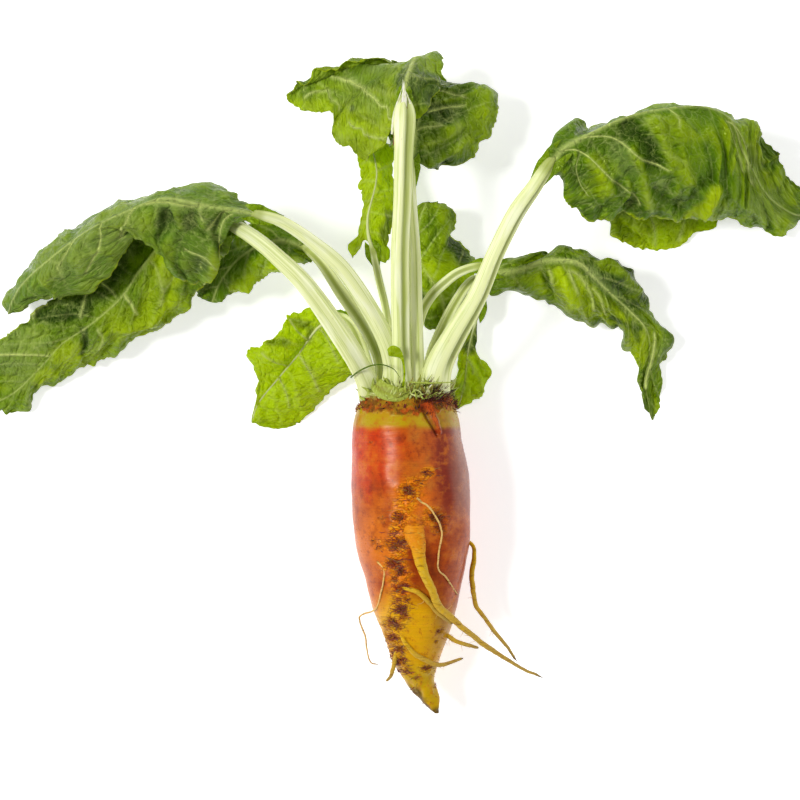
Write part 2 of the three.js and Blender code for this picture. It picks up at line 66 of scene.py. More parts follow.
# Leaves as in the solid model, in millimetres. Each blade hangs between its midrib ("rib") and its
# two edges, left and right as seen from base to tip, which both run on to the midrib's last point.
# "widths": the stalk's width from its foot to the blade. "bulge": how far each half of the blade
# swells out between midrib and edge, from base to tip. "upper": 1 where the leaf's upper side faces
# up. "frill": height of the ripples along the edges. "calm": the steps along the blade between which
# they die down. "spacing": distance between the side veins, and "laterals" how clear they are.
# "channel": the stalk's groove, as its angle round the stalk and half width in degrees, and its depth
# over the radius. "tone": how lime, how deep green and how grey the whole blade is, where the lime is
# partly painted light coming through the blade, the deep green partly painted shade and the grey a
# painted sheen. "rise": how far the midrib stands out of the side that faces up, where 1 is all of it
# and -1 is hidden. "veins": raised and pale, "folds": creases that stand up or dip, and "spots":
# colour, each as half width, strength and a path in steps along and across the blade; "lime" spots are
# partly painted light coming through, "deep" spots partly painted shade in folds and "bloom"
# spots a painted sheen. A "pale" spot takes deep green away.
LEAVES = {}
LEAVES["centre"] = {
    "stalk": [
        (-8, 97, 70), (-9, 135, 84), (-10, 179, 94), (-10, 223, 102), (-8, 267, 106), (-7, 312, 108),
        (-6, 343, 106), (-6, 361, 103),
    ],
    "rib": [
        (-6, 360, 102), (-5, 373, 97), (0, 388, 88), (4, 397, 76), (7, 394, 56), (8, 379, 38),
        (8, 358, 24), (6, 335, 14),
    ],
    "left": [
        (-13, 337, 98), (-24, 320, 84), (-40, 304, 62), (-53, 318, 56), (-64, 322, 52), (-72, 331, 52),
        (-70, 347, 58), (-94, 349, 54), (-113, 362, 46), (-103, 373, 50), (-77, 383, 56), (-44, 394, 62),
        (-21, 396, 54), (-10, 392, 34), (-3, 377, 20),
    ],
    "right": [
        (0, 337, 98), (11, 343, 98), (19, 355, 96), (24, 370, 88), (28, 389, 74), (22, 399, 56),
        (26, 392, 38), (32, 376, 24), (32, 355, 16),
    ],
    "widths": [17.1, 16.2, 16.2, 15.8, 16, 17, 18.5, 6],
    "bulge": {"left": [0, 6, 10, 6, 0], "right": [0, 4, 4, 4, 0]}, "upper": -1, "frill": 4.0,
    "spacing": 26, "laterals": 0.35, "channel": (54, 26, 0.34), "tone": (0.15, 0.15, 0.25), "rise": -1,
    "veins": [
        (1.9, 1, [(0.037, -0.66), (0.14, -0.37), (0.19, -0.43), (0.268, -0.45), (0.348, -0.52),
                  (0.4, -0.63), (0.448, -0.61), (0.487, -0.61), (0.52, -0.64)]),
        (1.3, 1, [(0.28, -0.78), (0.225, -0.79), (0.18, -0.77), (0.125, -0.71), (0.07, -0.89)]),
        (1.1, 0.8, [(0.497, -0.91), (0.495, -0.82), (0.47, -0.76)]),
        (1.1, 0.6, [(0.463, -0.77), (0.417, -0.89), (0.37, -0.88)]),
        (1, 0.6, [(0.12, -0.87), (0.113, -1)]),
    ],
    "folds": [(3.5, -2.2, [(0.247, -0.71), (0.17, -0.61)])],
    "spots": [
        ("deep", 3.4, 1, [(0.247, -0.71), (0.175, -0.62)]),
        ("bloom", 13, 0.7, [(0.403, -0.72), (0.255, -0.52)]),
        ("pale", 18, 0.9, [(0.473, -0.83), (0.375, -0.73), (0.177, -0.53)]),
        ("bloom", 10, 0.9, [(0.478, -0.35), (0.383, -0.26)]),
        ("lime", 22, 1, [(0.28, -0.8), (0.182, -0.8), (0.068, -0.92)]),
        ("lime", 10, 0.9, [(0.485, -0.99), (0.432, -0.95)]),
        ("lime", 7, 0.8, [(0.297, -0.38), (0.177, -0.22)]), ("deep", 2.4, 1, [(0.31, -0.67)]),
        ("deep", 6, 0.6, [(0.238, -0.31), (0.325, -0.37)]),
        ("deep", 20, 1, [(0.203, 0.01), (0.242, 0.44), (0.238, 0.77)]),
        ("bloom", 9, 0.5, [(0.273, 0), (0.383, 0.44)]), ("deep", 12, 0.6, [(0.295, 0), (0.34, 0.36)]),
        ("lime", 4, 0.9, [(0.205, 0.87), (0.058, 0.99)]),
    ],
}
LEAVES["front_left"] = {
    "stalk": [
        (-36, 95, 58), (-42, 113, 72), (-59, 143, 90), (-92, 190, 105), (-120, 218, 106),
        (-141, 235, 101), (-158, 245, 92),
    ],
    "rib": [
        (-156, 244, 90), (-184, 244, 80), (-220, 232, 68), (-242, 209, 58), (-260, 183, 48),
        (-288, 159, 40), (-315, 141, 34), (-336, 119, 24), (-363, 95, 10), (-394, 83, 2),
    ],
    "left": [
        (-154, 240, 84), (-169, 219, 74), (-185, 200, 60), (-201, 173, 42), (-221, 159, 32),
        (-249, 142, 24), (-278, 125, 18), (-295, 117, 14), (-313, 111, 12), (-325, 105, 10),
        (-343, 97, 8), (-354, 81, 3), (-374, 75, 1),
    ],
    "right": [
        (-160, 250, 88), (-185, 260, 70), (-217, 259, 54), (-244, 245, 46), (-271, 225, 42),
        (-299, 198, 40), (-330, 176, 42), (-359, 153, 34), (-382, 140, 20), (-401, 115, 8),
    ],
    "widths": [18, 18, 18, 16.2, 14.4, 13.5, 11.7],
    "bulge": {"left": [0, 4, 8, 8, 4, 0], "right": [0, -4, -2, 4, 6, 0]}, "upper": -1, "frill": 5.0,
    "spacing": 30, "laterals": 0.35, "channel": (100, 34, 0.06), "tone": (0.1, 0.15, 0.1), "rise": -0.5,
    "veins": [
        (1.6, 1, [(0.432, -0.01), (0.4, -0.26), (0.378, -0.52)]),
        (1.2, 0.6, [(0.235, -0.48), (0.273, -0.53), (0.307, -0.66)]),
        (1.2, 0.6, [(0.292, -0.06), (0.28, -0.28), (0.285, -0.52)]),
        (1.2, 0.7, [(0.53, -0.17), (0.503, -0.42), (0.505, -0.63)]),
        (1.5, 0.8, [(0.465, 0.58), (0.458, 0.31), (0.458, 0.08)]),
        (1.4, 0.8, [(0.482, 0.88), (0.525, 0.53), (0.562, 0.29)]),
        (1.4, 0.8, [(0.59, 1), (0.62, 1), (0.647, 0.93)]),
        (1.6, 0.9, [(0.797, 0.73), (0.753, 0.41), (0.723, 0.03)]),
    ],
    "folds": [
        (3, -2.5, [(0.588, 0), (0.573, -0.28), (0.57, -0.55)]),
        (5, 3, [(0.44, -0.48), (0.345, -0.78), (0.258, -0.74)]),
        (4, -3, [(0.58, 0.4), (0.613, 0.7), (0.66, 1)]),
    ],
    "spots": [
        ("lime", 16, 0.9, [(0.238, -0.18), (0.24, -0.41)]),
        ("lime", 20, 0.5, [(0.463, -0.32), (0.345, -0.71), (0.273, -0.69)]),
        ("lime", 12, 0.8, [(0.675, -0.22), (0.61, -0.31)]),
        ("lime", 9, 0.8, [(0.768, -0.39), (0.733, -0.46)]),
        ("deep", 4, 0.8, [(0.58, -0.02), (0.57, -0.29), (0.58, -0.48)]),
        ("deep", 14, 0.9, [(0.395, 0.61), (0.47, 0.56), (0.55, 0.57), (0.61, 0.88)]),
        ("deep", 8, 0.6, [(0.28, 0.76), (0.335, 0.61)]),
        ("bloom", 18, 0.9, [(0.777, 0.72), (0.713, 0.52), (0.82, 0.2)]),
        ("pale", 22, 0.9, [(0.777, 0.72), (0.713, 0.52), (0.82, 0.2)]),
    ],
}
LEAVES["upper_right"] = {
    "stalk": [
        (20, 101, 68), (26, 124, 76), (39, 149, 88), (59, 183, 99), (75, 221, 108), (92, 255, 114),
        (108, 278, 118), (120, 296, 120),
    ],
    "rib": [
        (121, 297, 120), (136, 313, 117), (158, 326, 114), (190, 341, 110), (225, 349, 104),
        (260, 351, 97), (284, 341, 90), (298, 321, 78), (306, 298, 62), (322, 274, 40), (346, 259, 18),
        (361, 259, 8),
    ],
    "left": [
        (118, 302, 116), (132, 315, 106), (170, 329, 60), (182, 264, 4), (190, 236, 2), (212, 228, 2),
        (238, 228, 2), (260, 241, 2), (281, 254, 3), (296, 317, 36), (310, 328, 48), (329, 313, 36),
        (331, 313, 34), (343, 289, 22), (359, 277, 12),
    ],
    "right": [
        (125, 292, 114), (134, 282, 106), (138, 268, 96), (153, 252, 84), (166, 250, 78), (189, 256, 72),
        (212, 252, 66), (242, 250, 58), (260, 255, 52), (278, 253, 46), (293, 252, 38), (312, 244, 26),
        (330, 241, 16), (348, 250, 8),
    ],
    "widths": [22.5, 22.5, 20.7, 17.1, 15.3, 15.3, 13.5, 11.7],
    "bulge": {"left": [0, 24, 46, 44, 5, 2, 0], "right": [0, 8, 14, 14, 10, 4, 0]}, "upper": 1,
    "frill": 5.0, "spacing": 30, "laterals": 0.25, "channel": (42, 15, 0.24), "tone": (0.05, 0.3, 0.0),
    "rise": -1, "calm": (0.62, 0.8),
    "veins": [
        (1.7, 1, [(0.09, 0.05), (0.16, 0.2), (0.242, 0.47), (0.325, 0.69), (0.388, 0.88)]),
        (1.5, 1, [(0.155, 0), (0.225, 0.1), (0.275, 0.22), (0.34, 0.42), (0.417, 0.52)]),
        (1.3, 0.8, [(0.15, 0.22), (0.145, 0.41), (0.173, 0.64), (0.205, 0.74)]),
        (1.8, 1, [(0.535, 0.04), (0.58, 0.02), (0.665, 0.12), (0.743, 0.17)]),
        (1.2, 0.7, [(0.372, 0), (0.398, 0.09), (0.405, 0.16)]),
        (1.4, 0.9, [(0.578, 0), (0.615, 0), (0.657, 0), (0.725, 0)]),
        (1.2, 0.7, [(0.555, 0.06), (0.608, 0.16), (0.66, 0.27)]),
        (1.4, 0.7, [(0.432, -0.79), (0.443, -0.89), (0.42, -0.98)]),
        (1.3, 0.6, [(0.36, -0.84), (0.367, -0.92), (0.362, -0.98)]),
    ],
    "folds": [
        (7, -1.9, [(0.275, 0.06), (0.323, 0.2), (0.378, 0.45)]),
        (6, 4, [(0.345, 0.09), (0.395, 0.34), (0.475, 0.58)]),
        (5, 3.5, [(0.3, 0.3), (0.372, 0.67), (0.415, 0.88)]), (5, -2.5, [(0.405, 0.71), (0.485, 0.89)]),
        (6, 4, [(0.573, 0.93), (0.575, 0.65)]), (6, 3, [(0.188, 0.3), (0.278, 0.66)]),
    ],
    "spots": [
        ("deep", 15, 0.75, [(0.297, 0.13), (0.333, 0.28), (0.375, 0.48)]),
        ("lime", 20, 0.35, [(0.662, 0.01), (0.805, 0)]), ("deep", 8, 0.5, [(0.285, 0.81), (0.4, 0.95)]),
        ("lime", 12, 0.5, [(0.205, 0.65), (0.22, 0.37)]),
        ("lime", 6, 0.9, [(0.522, 0.96), (0.557, 0.85), (0.575, 0.65)]),
        ("bloom", 9, 0.7, [(0.268, 0.29), (0.307, 0.47)]), ("bloom", 16, 0.8, [(0.777, 0.49), (0.84, 0)]),
        ("pale", 26, 1, [(0.603, 0), (0.748, 0), (0.853, 0)]), ("bloom", 8, 0.5, [(0.685, 0), (0.77, 0)]),
        ("lime", 40, 1, [(0.357, -0.97), (0.497, -0.96)]), ("lime", 60, 0.7, [(0.408, -0.8)]),
    ],
}
LEAVES["centre_right"] = {
    "stalk": [(6, 97, 64), (5, 139, 74), (4, 179, 80), (3, 224, 84), (0, 268, 86), (-1, 300, 86)],
    "rib": [(-1, 300, 86), (3, 322, 83), (8, 345, 76), (15, 362, 66), (26, 372, 56), (41, 375, 46)],
    "left": [(-5, 304, 82), (-13, 316, 72), (-21, 334, 62), (-17, 354, 52), (-3, 369, 44), (17, 379, 38)],
    "right": [
        (4, 302, 82), (20, 297, 70), (36, 299, 60), (55, 312, 52), (63, 327, 49), (73, 336, 47),
        (75, 352, 45), (78, 367, 41), (66, 370, 41),
    ],
    "widths": [13.5, 12.6, 11.7, 10.8, 9.9, 9], "bulge": {"left": [0, 3, 3, 0], "right": [0, 6, 8, 6, 0]},
    "upper": 1, "frill": 4.0, "spacing": 24, "laterals": 0.3, "channel": (110, 20, 0.02),
    "tone": (0.0, 0.7, 0.0), "rise": -0.7,
    "veins": [
        (1.3, 1, [(0.713, 0), (0.682, 0.19), (0.66, 0.48)]),
        (1.3, 0.9, [(0.448, 0.1), (0.535, 0.29), (0.595, 0.49)]),
        (1.3, 0.8, [(0.27, 0), (0.31, 0.08), (0.375, 0.32)]),
    ],
    "spots": [
        ("deep", 14, 1, [(0.503, 0.03), (0.45, 0.33)]),
        ("lime", 18, 0.85, [(0.285, 0.41), (0.378, 0.66), (0.525, 0.81)]),
        ("lime", 9, 0.6, [(0.615, 0.15), (0.628, 0.45)]), ("lime", 9, 0.5, [(0.36, 0.86), (0.568, 0.83)]),
        ("deep", 10, 0.7, [(0.362, -0.58), (0.525, -0.4)]),
    ],
}
LEAVES["top_left"] = {
    "stalk": [
        (-17, 97, 62), (-17, 126, 76), (-30, 159, 90), (-59, 204, 108), (-86, 229, 116), (-113, 247, 121),
        (-135, 254, 123),
    ],
    "rib": [
        (-134, 253, 123), (-151, 257, 123), (-188, 263, 122), (-222, 268, 118), (-258, 255, 108),
        (-290, 239, 96), (-322, 216, 84), (-346, 196, 70), (-358, 180, 56), (-363, 167, 46),
    ],
    "left": [
        (-132, 250, 118), (-152, 248, 112), (-164, 234, 103), (-168, 216, 96), (-177, 200, 90),
        (-188, 191, 86), (-199, 194, 84), (-209, 211, 92), (-223, 236, 100), (-235, 249, 106),
        (-254, 227, 92), (-271, 202, 78), (-294, 186, 66), (-319, 185, 60), (-335, 184, 56),
        (-347, 175, 50),
    ],
    "right": [
        (-112, 253, 112), (-132, 261, 112), (-152, 268, 104), (-163, 280, 92), (-178, 272, 74),
        (-204, 265, 40), (-237, 265, 10), (-274, 247, 1), (-306, 225, 1), (-336, 201, 1), (-356, 181, 6),
    ],
    "widths": [16.2, 16.2, 16.2, 15.3, 12.6, 10.8, 9],
    "bulge": {"left": [0, 0, 4, 8, 6, 0], "right": [0, 2, 8, 14, 12, 0]}, "upper": 1, "frill": 5.0,
    "spacing": 30, "laterals": 0.3, "channel": (60, 22, 0.07), "tone": (0.05, 0.1, 0.35), "rise": -1,
    "veins": [
        (1.4, 0.9, [(0.593, 0), (0.642, -0.13), (0.685, -0.19)]),
        (1.4, 1, [(0.505, 0), (0.608, -0.52), (0.647, -0.59), (0.682, -0.63)]),
        (1.4, 1, [(0.405, 0), (0.445, -0.13), (0.6, -0.79)]),
        (1.2, 0.6, [(0.685, -0.19), (0.715, -0.41)]),
        (1.3, 0.9, [(0.375, -0.02), (0.258, -0.06), (0.2, 0), (0.135, 0)]),
        (1.3, 1, [(0.138, -0.02), (0.188, -0.3), (0.22, -0.41)]),
        (1.3, 0.9, [(0.133, -0.17), (0.168, -0.48), (0.198, -1)]),
        (1.2, 0.9, [(0.318, -0.57), (0.255, -0.72), (0.223, -0.98)]),
        (1.1, 0.7, [(0.22, -0.03), (0.228, -0.25)]),
    ],
    "folds": [
        (5, -4, [(0.33, -0.16), (0.348, -0.3), (0.383, -0.4)]),
        (4, -3, [(0.247, -0.14), (0.25, -0.33), (0.228, -0.46)]), (5, 3, [(0.215, -0.71), (0.23, -0.97)]),
        (4, 3, [(0.3, -0.16), (0.295, -0.32)]),
        (4, -2.5, [(0.163, -0.17), (0.195, -0.53), (0.19, -0.93)]),
    ],
    "spots": [
        ("deep", 8, 0.95, [(0.36, -0.25), (0.328, -0.18), (0.265, -0.27)]),
        ("deep", 7, 0.9, [(0.21, -0.17), (0.2, -0.34)]),
        ("deep", 12, 0.8, [(0.323, -0.76), (0.268, -0.75)]),
        ("deep", 10, 0.7, [(0.158, -1), (0.155, -1)]), ("lime", 8, 0.7, [(0.225, -0.86), (0.235, -0.95)]),
        ("lime", 9, 0.6, [(0.145, -1), (0.173, -1)]),
        ("bloom", 24, 0.9, [(0.675, -0.05), (0.59, -0.2), (0.46, -0.11)]),
        ("pale", 24, 0.7, [(0.675, -0.05), (0.59, -0.2), (0.46, -0.11)]),
        ("bloom", 10, 0.8, [(0.338, -0.06), (0.217, -0.01)]),
    ],
}
LEAVES["low_right"] = {
    "stalk": [
        (15, 101, 42), (19, 131, 45), (32, 162, 47), (46, 187, 46), (56, 198, 42), (62, 197, 36),
        (64, 186, 30), (61, 170, 27),
    ],
    "rib": [(61, 169, 27), (55, 149, 22), (51, 128, 17), (49, 106, 10), (43, 82, 2)],
    "left": [
        (59, 164, 24), (56, 147, 18), (61, 133, 15), (68, 122, 12), (73, 110, 9), (64, 101, 7),
        (60, 91, 4),
    ],
    "right": [
        (56, 164, 24), (49, 146, 20), (46, 134, 16), (45, 122, 12), (40, 112, 9), (33, 103, 6),
        (30, 93, 2),
    ],
    "widths": [9.9, 9.9, 9.9, 9, 8.1, 8.1, 7.2, 6.3],
    "bulge": {"left": [0, 4, 5, 3, 0], "right": [0, 4, 4, 3, 0]}, "upper": -1, "frill": 6.0,
    "spacing": 18, "laterals": 0.5, "channel": (90, 30, 0.3), "tone": (0.95, 0.0, 0.0), "rise": 0.1,
    "veins": [
        (1.1, 0.9, [(0.497, 0), (0.535, -0.19), (0.613, -0.3)]),
        (1.1, 0.9, [(0.535, 0), (0.682, 0), (0.845, 0)]),
    ],
    "folds": [(4, 3, [(0.708, 0.38), (0.807, 0)])],
    "spots": [
        ("lime", 12, 0.7, [(0.57, -0.36)]), ("deep", 8, 1, [(0.075, -1), (0.367, 0)]),
        ("bloom", 5, 1, [(0.763, 0.14), (0.825, 0)]), ("lime", 14, 0.8, [(0.628, 0.54)]),
    ],
}
LEAVES["mid_left"] = {
    "stalk": [
        (-28, 101, 46), (-28, 124, 52), (-40, 153, 58), (-63, 187, 66), (-80, 212, 72), (-94, 226, 74),
    ],
    "rib": [
        (-94, 225, 74), (-113, 233, 72), (-134, 230, 66), (-156, 216, 54), (-172, 196, 44),
        (-180, 178, 36),
    ],
    "left": [
        (-87, 218, 70), (-100, 212, 62), (-118, 209, 56), (-134, 200, 50), (-151, 190, 44),
        (-163, 185, 40),
    ],
    "right": [
        (-89, 235, 78), (-106, 246, 80), (-130, 250, 78), (-153, 241, 62), (-177, 225, 44),
        (-191, 206, 36), (-195, 188, 34),
    ],
    "widths": [10.8, 10.8, 11.7, 11.7, 9.9, 8.1],
    "bulge": {"left": [0, 3, 3, 2, 0], "right": [0, 3, 3, 2, 0]}, "upper": 1, "frill": 4.0, "spacing": 24,
    "laterals": 0.6, "channel": (90, 30, 0.25), "tone": (0.1, 0.35, 0.0), "rise": -0.5,
    "spots": [
        ("lime", 7, 1, [(0.177, -0.82), (0.48, -0.84), (0.73, -0.82)]),
        ("deep", 8, 0.6, [(0.245, -0.14), (0.455, -0.13)]),
    ],
}
LEAVES["right"] = {
    "stalk": [
        (7, 101, 46), (4, 135, 50), (8, 164, 56), (17, 182, 60), (30, 195, 63), (44, 205, 65),
        (62, 210, 66),
    ],
    "rib": [
        (62, 210, 66), (80, 205, 66), (98, 207, 66), (116, 214, 66), (135, 215, 65), (152, 211, 62),
        (166, 199, 56), (181, 185, 48), (199, 169, 40), (214, 152, 30), (216, 128, 16), (213, 104, 7),
        (220, 71, 1),
    ],
    "left": [
        (65, 216, 62), (89, 218, 58), (116, 221, 50), (131, 220, 44), (143, 230, 48), (153, 222, 44),
        (170, 217, 48), (190, 213, 44), (210, 186, 30), (219, 167, 26), (236, 144, 16), (235, 126, 10),
        (228, 110, 6), (228, 85, 1),
    ],
    "right": [
        (64, 201, 62), (71, 184, 52), (91, 186, 44), (109, 183, 38), (128, 175, 32), (144, 166, 26),
        (158, 158, 18), (177, 158, 14), (195, 157, 16), (194, 140, 14), (201, 125, 8), (209, 104, 2),
        (215, 81, 1),
    ],
    "widths": [9, 9, 9, 9, 9, 8.1, 7.2],
    "bulge": {"left": [0, 6, 8, 8, 6, 4, 0], "right": [0, 8, 10, 10, 8, 4, 0]}, "upper": -1, "frill": 4.5,
    "spacing": 26, "laterals": 0.4, "channel": (95, 34, 0.35), "tone": (0.1, 0.4, 0.0), "rise": -0.3,
    "veins": [
        (1.4, 0.9, [(0.365, 0.11), (0.388, 0.28), (0.413, 0.38)]),
        (1.3, 0.8, [(0.285, 0.15), (0.295, 0.26), (0.297, 0.41)]),
        (1.4, 0.9, [(0.665, 0), (0.703, 0), (0.743, 0.02)]),
        (1.2, 0.7, [(0.492, 0.16), (0.54, 0.24), (0.557, 0.57)]),
        (1.2, 0.8, [(0.378, 0.12), (0.443, 0.16), (0.495, 0.28), (0.505, 0.52)]),
        (1.4, 0.8, [(0.3, 0), (0.4, -0.05), (0.487, 0)]),
        (1.6, 1, [(0.74, -0.22), (0.825, -0.17), (0.922, -0.05)]),
    ],
    "folds": [
        (3, 2.5, [(0.325, 0.12), (0.352, 0.32), (0.388, 0.55)]),
        (3, -2.5, [(0.542, 0.04), (0.61, 0.1), (0.657, 0.14)]), (4, -2.5, [(0.265, 0.24), (0.292, 0.71)]),
        (5, 3, [(0.348, 0.34), (0.405, 0.61)]), (5, -2, [(0.487, 0.33), (0.585, 0.57)]),
        (5, 4, [(0.458, -0.62), (0.522, -0.58), (0.57, -0.64)]),
    ],
    "spots": [
        ("lime", 20, 1, [(0.335, 0.37), (0.417, 0.45), (0.48, 0.49), (0.608, 0.34)]),
        ("lime", 14, 1, [(0.75, 0.26), (0.765, 0.65)]),
        ("deep", 4, 0.9, [(0.58, 0.67), (0.67, 0.33), (0.715, 0.15)]),
        ("deep", 5, 0.8, [(0.682, 0.19), (0.743, 0.35)]), ("deep", 5, 0.7, [(0.27, 0.31), (0.297, 0.54)]),
        ("deep", 22, 1, [(0.45, -0.39), (0.52, -0.53), (0.585, -0.62)]),
        ("deep", 9, 1, [(0.487, -0.32), (0.552, -0.35), (0.608, -0.37)]),
        ("deep", 5, 0.6, [(0.15, -0.16), (0.245, 0)]),
        ("bloom", 5, 0.8, [(0.463, -0.07), (0.535, -0.03), (0.588, -0.08)]),
        ("bloom", 8, 0.6, [(0.755, -0.47), (0.795, -0.67)]),
    ],
}
LEAVES["inner_left"] = {
    "stalk": [(-21, 104, 48), (-20, 135, 52), (-22, 168, 56), (-29, 199, 60), (-34, 223, 62)],
    "rib": [
        (-34, 223, 62), (-38, 237, 62), (-39, 252, 62), (-36, 267, 62), (-32, 282, 60), (-31, 298, 56),
        (-35, 315, 48), (-41, 328, 40),
    ],
    "left": [
        (-37, 227, 60), (-41, 234, 56), (-53, 219, 50), (-48, 245, 54), (-41, 262, 56), (-45, 270, 54),
        (-47, 283, 50), (-46, 299, 46), (-50, 315, 42),
    ],
    "right": [
        (-31, 223, 60), (-24, 214, 56), (-17, 225, 54), (-21, 236, 56), (-15, 250, 54), (-13, 270, 52),
        (-14, 288, 50), (-15, 306, 46), (-19, 320, 42),
    ],
    "widths": [8.1, 8.1, 7.2, 7.2, 6.3], "bulge": {"left": [0, 2, 2, 2, 0], "right": [0, 2, 2, 2, 0]},
    "upper": -1, "frill": 5.0, "spacing": 18, "laterals": 0.6, "channel": (90, 30, 0.2),
    "tone": (0.95, 0.0, 0.0), "rise": 0.5,
    "spots": [
        ("lime", 12, 0.5, [(0.605, -0.73), (0.807, -0.67)]),
        ("lime", 12, 0.5, [(0.52, 0.54), (0.703, 0.43)]), ("deep", 6, 0.7, [(0.275, 0.84), (0.463, 0.8)]),
    ],
}
LEAVES["back"] = {
    "stalk": [(21, 101, 34), (29, 126, 33), (33, 149, 33), (32, 167, 35)],
    "rib": [
        (32, 168, 35), (27, 184, 38), (17, 200, 40), (9, 214, 42), (6, 234, 42), (8, 252, 38),
        (14, 269, 34),
    ],
    "left": [(24, 150, 32), (12, 158, 28), (1, 180, 28), (-8, 208, 28), (-12, 235, 28), (-6, 257, 30)],
    "right": [
        (39, 150, 30), (50, 164, 27), (51, 190, 26), (59, 217, 24), (44, 230, 24), (39, 238, 26),
        (43, 251, 28), (41, 261, 28), (26, 269, 30),
    ],
    "widths": [9.9, 9.9, 9, 8.1], "bulge": {"left": [0, 3, 4, 3, 0], "right": [0, 4, 5, 3, 0]},
    "upper": 1, "frill": 4.0, "spacing": 22, "laterals": 0.6, "channel": (90, 30, 0.25),
    "tone": (0.35, 0.2, 0.0), "rise": -0.5,
    "veins": [
        (1.2, 0.8, [(0.378, 0), (0.247, 0.02), (0.095, 0.02)]),
        (1.2, 0.7, [(0.512, 0), (0.583, -0.2), (0.665, -0.46)]),
    ],
    "spots": [
        ("deep", 9, 1, [(0.49, 0.81), (0.367, 0.76)]),
        ("lime", 11, 1, [(0.41, 0.09), (0.325, 0.29), (0.295, 0.74)]),
        ("deep", 12, 0.6, [(0.133, -1), (0.288, -0.62)]),
    ],
}
LEAVES["low_left"] = {
    "stalk": [(-33, 95, 34), (-39, 118, 38), (-46, 140, 41), (-54, 157, 42), (-64, 165, 40)],
    "rib": [
        (-64, 165, 40), (-84, 156, 30), (-102, 132, 20), (-123, 107, 13), (-139, 87, 7), (-145, 69, 1),
    ],
    "left": [
        (-52, 178, 35), (-43, 164, 33), (-39, 137, 24), (-53, 115, 14), (-71, 103, 10), (-89, 82, 3),
        (-107, 67, 1), (-130, 65, 1),
    ],
    "right": [
        (-74, 181, 36), (-92, 174, 36), (-110, 168, 36), (-116, 153, 34), (-136, 138, 32),
        (-146, 134, 26), (-140, 117, 16), (-140, 94, 7),
    ],
    "widths": [10.8, 10.8, 10.8, 9.9, 8.6],
    "bulge": {"left": [0, 3, 5, 4, 2, 0], "right": [0, 4, 5, 4, 2, 0]}, "upper": -1, "frill": 4.0,
    "spacing": 24, "laterals": 0.3, "channel": (90, 30, 0.25), "tone": (1.0, 0.0, 0.0), "rise": 0.5,
    "veins": [
        (1.3, 0.9, [(0.198, -0.03), (0.278, -0.36), (0.345, -0.64)]),
        (1.3, 0.9, [(0.4, -0.01), (0.46, -0.39), (0.537, -0.79)]),
        (1.2, 0.8, [(0.57, -0.01), (0.623, -0.32), (0.68, -0.58)]),
        (1.3, 0.9, [(0.302, 0.04), (0.3, 0.52), (0.28, 0.84)]),
        (1.2, 0.8, [(0.487, 0.08), (0.51, 0.48), (0.522, 0.84)]),
    ],
    "spots": [
        ("lime", 30, 0.8, [(0.475, -0.24), (0.302, -0.4)]), ("lime", 24, 0.6, [(0.547, 0.27), (0.73, 0)]),
        ("deep", 5, 0.6, [(0.448, 0.96), (0.405, 0.68)]),
        ("deep", 5, 0.6, [(0.26, 0.75), (0.24, 0.19), (0.302, 0)]),
    ],
}
for number, measured_leaf in enumerate(LEAVES.values(), 1):
    measured_leaf["seed"] = number

# Side roots and root hairs: path, and widths from the taproot to the end.
ROOTLETS = {
    "branch_root_main": {
        "path": [
            (2, -15, 96.5), (6, -39, 103), (11, -62, 101), (19, -80, 95), (26, -95, 87), (39, -107, 77),
            (51, -118, 70), (62, -127, 63), (80, -139, 56), (98, -150, 50), (119, -160, 45),
        ],
        "widths": [20, 12.6, 9, 7.4, 6.6, 5.9, 5, 4.5, 3.6, 3.1, 2.2],
    },
    "branch_root_thin": {
        "path": [
            (-6, -77, 88), (3, -80, 92), (11, -86, 90), (21, -96, 84), (29, -104, 80), (37, -110, 74),
        ],
        "widths": [4.5, 4.5, 4, 3.6],
    },
    "branch_root_right": {
        "path": [
            (49, -36, 52), (57, -44, 52), (55, -64, 50), (56, -81, 48), (60, -98, 46), (69, -110, 44),
            (78, -122, 42), (88, -134, 40), (96, -146, 38),
        ],
        "widths": [3.6, 5, 4.5, 4, 3.6, 3.1, 2.2],
    },
    "branch_root_short": {
        "path": [(30, -121, 52), (40, -126, 52), (50, -130, 50), (61, -133, 48)],
        "widths": [4.5, 4, 3.6, 2.7],
    },
    "branch_root_low": {
        "path": [
            (-12, -115, 68), (-6, -126, 71), (4, -138, 67), (16, -145, 61), (28, -148, 55),
            (37, -146, 52), (47, -143, 50),
        ],
        "widths": [3.6, 4.5, 4.5, 3.6, 2.7],
    },
    "branch_root_tip": {
        "path": [(-12, -133, 59), (-15, -145, 57), (-17, -156, 53), (-22, -163, 50)],
        "widths": [3.6, 4, 3.6, 2.2],
    },
    "hair_root_left": {
        "path": [
            (-30, -54, 88), (-24, -62, 89), (-26, -81, 80), (-31, -96, 67), (-36, -100, 61),
            (-46, -105, 54), (-42, -122, 46), (-37, -145, 40), (-30, -149, 38),
        ],
        "widths": [1.6, 1.6, 1.4],
    },
    "hair_root_right": {
        "path": [
            (5, 3, 104), (19, -9, 103), (27, -28, 99), (24, -48, 96), (25, -61, 92), (33, -72, 83),
            (42, -85, 62),
        ],
        "widths": [1.8, 1.6, 1.4],
    },
}

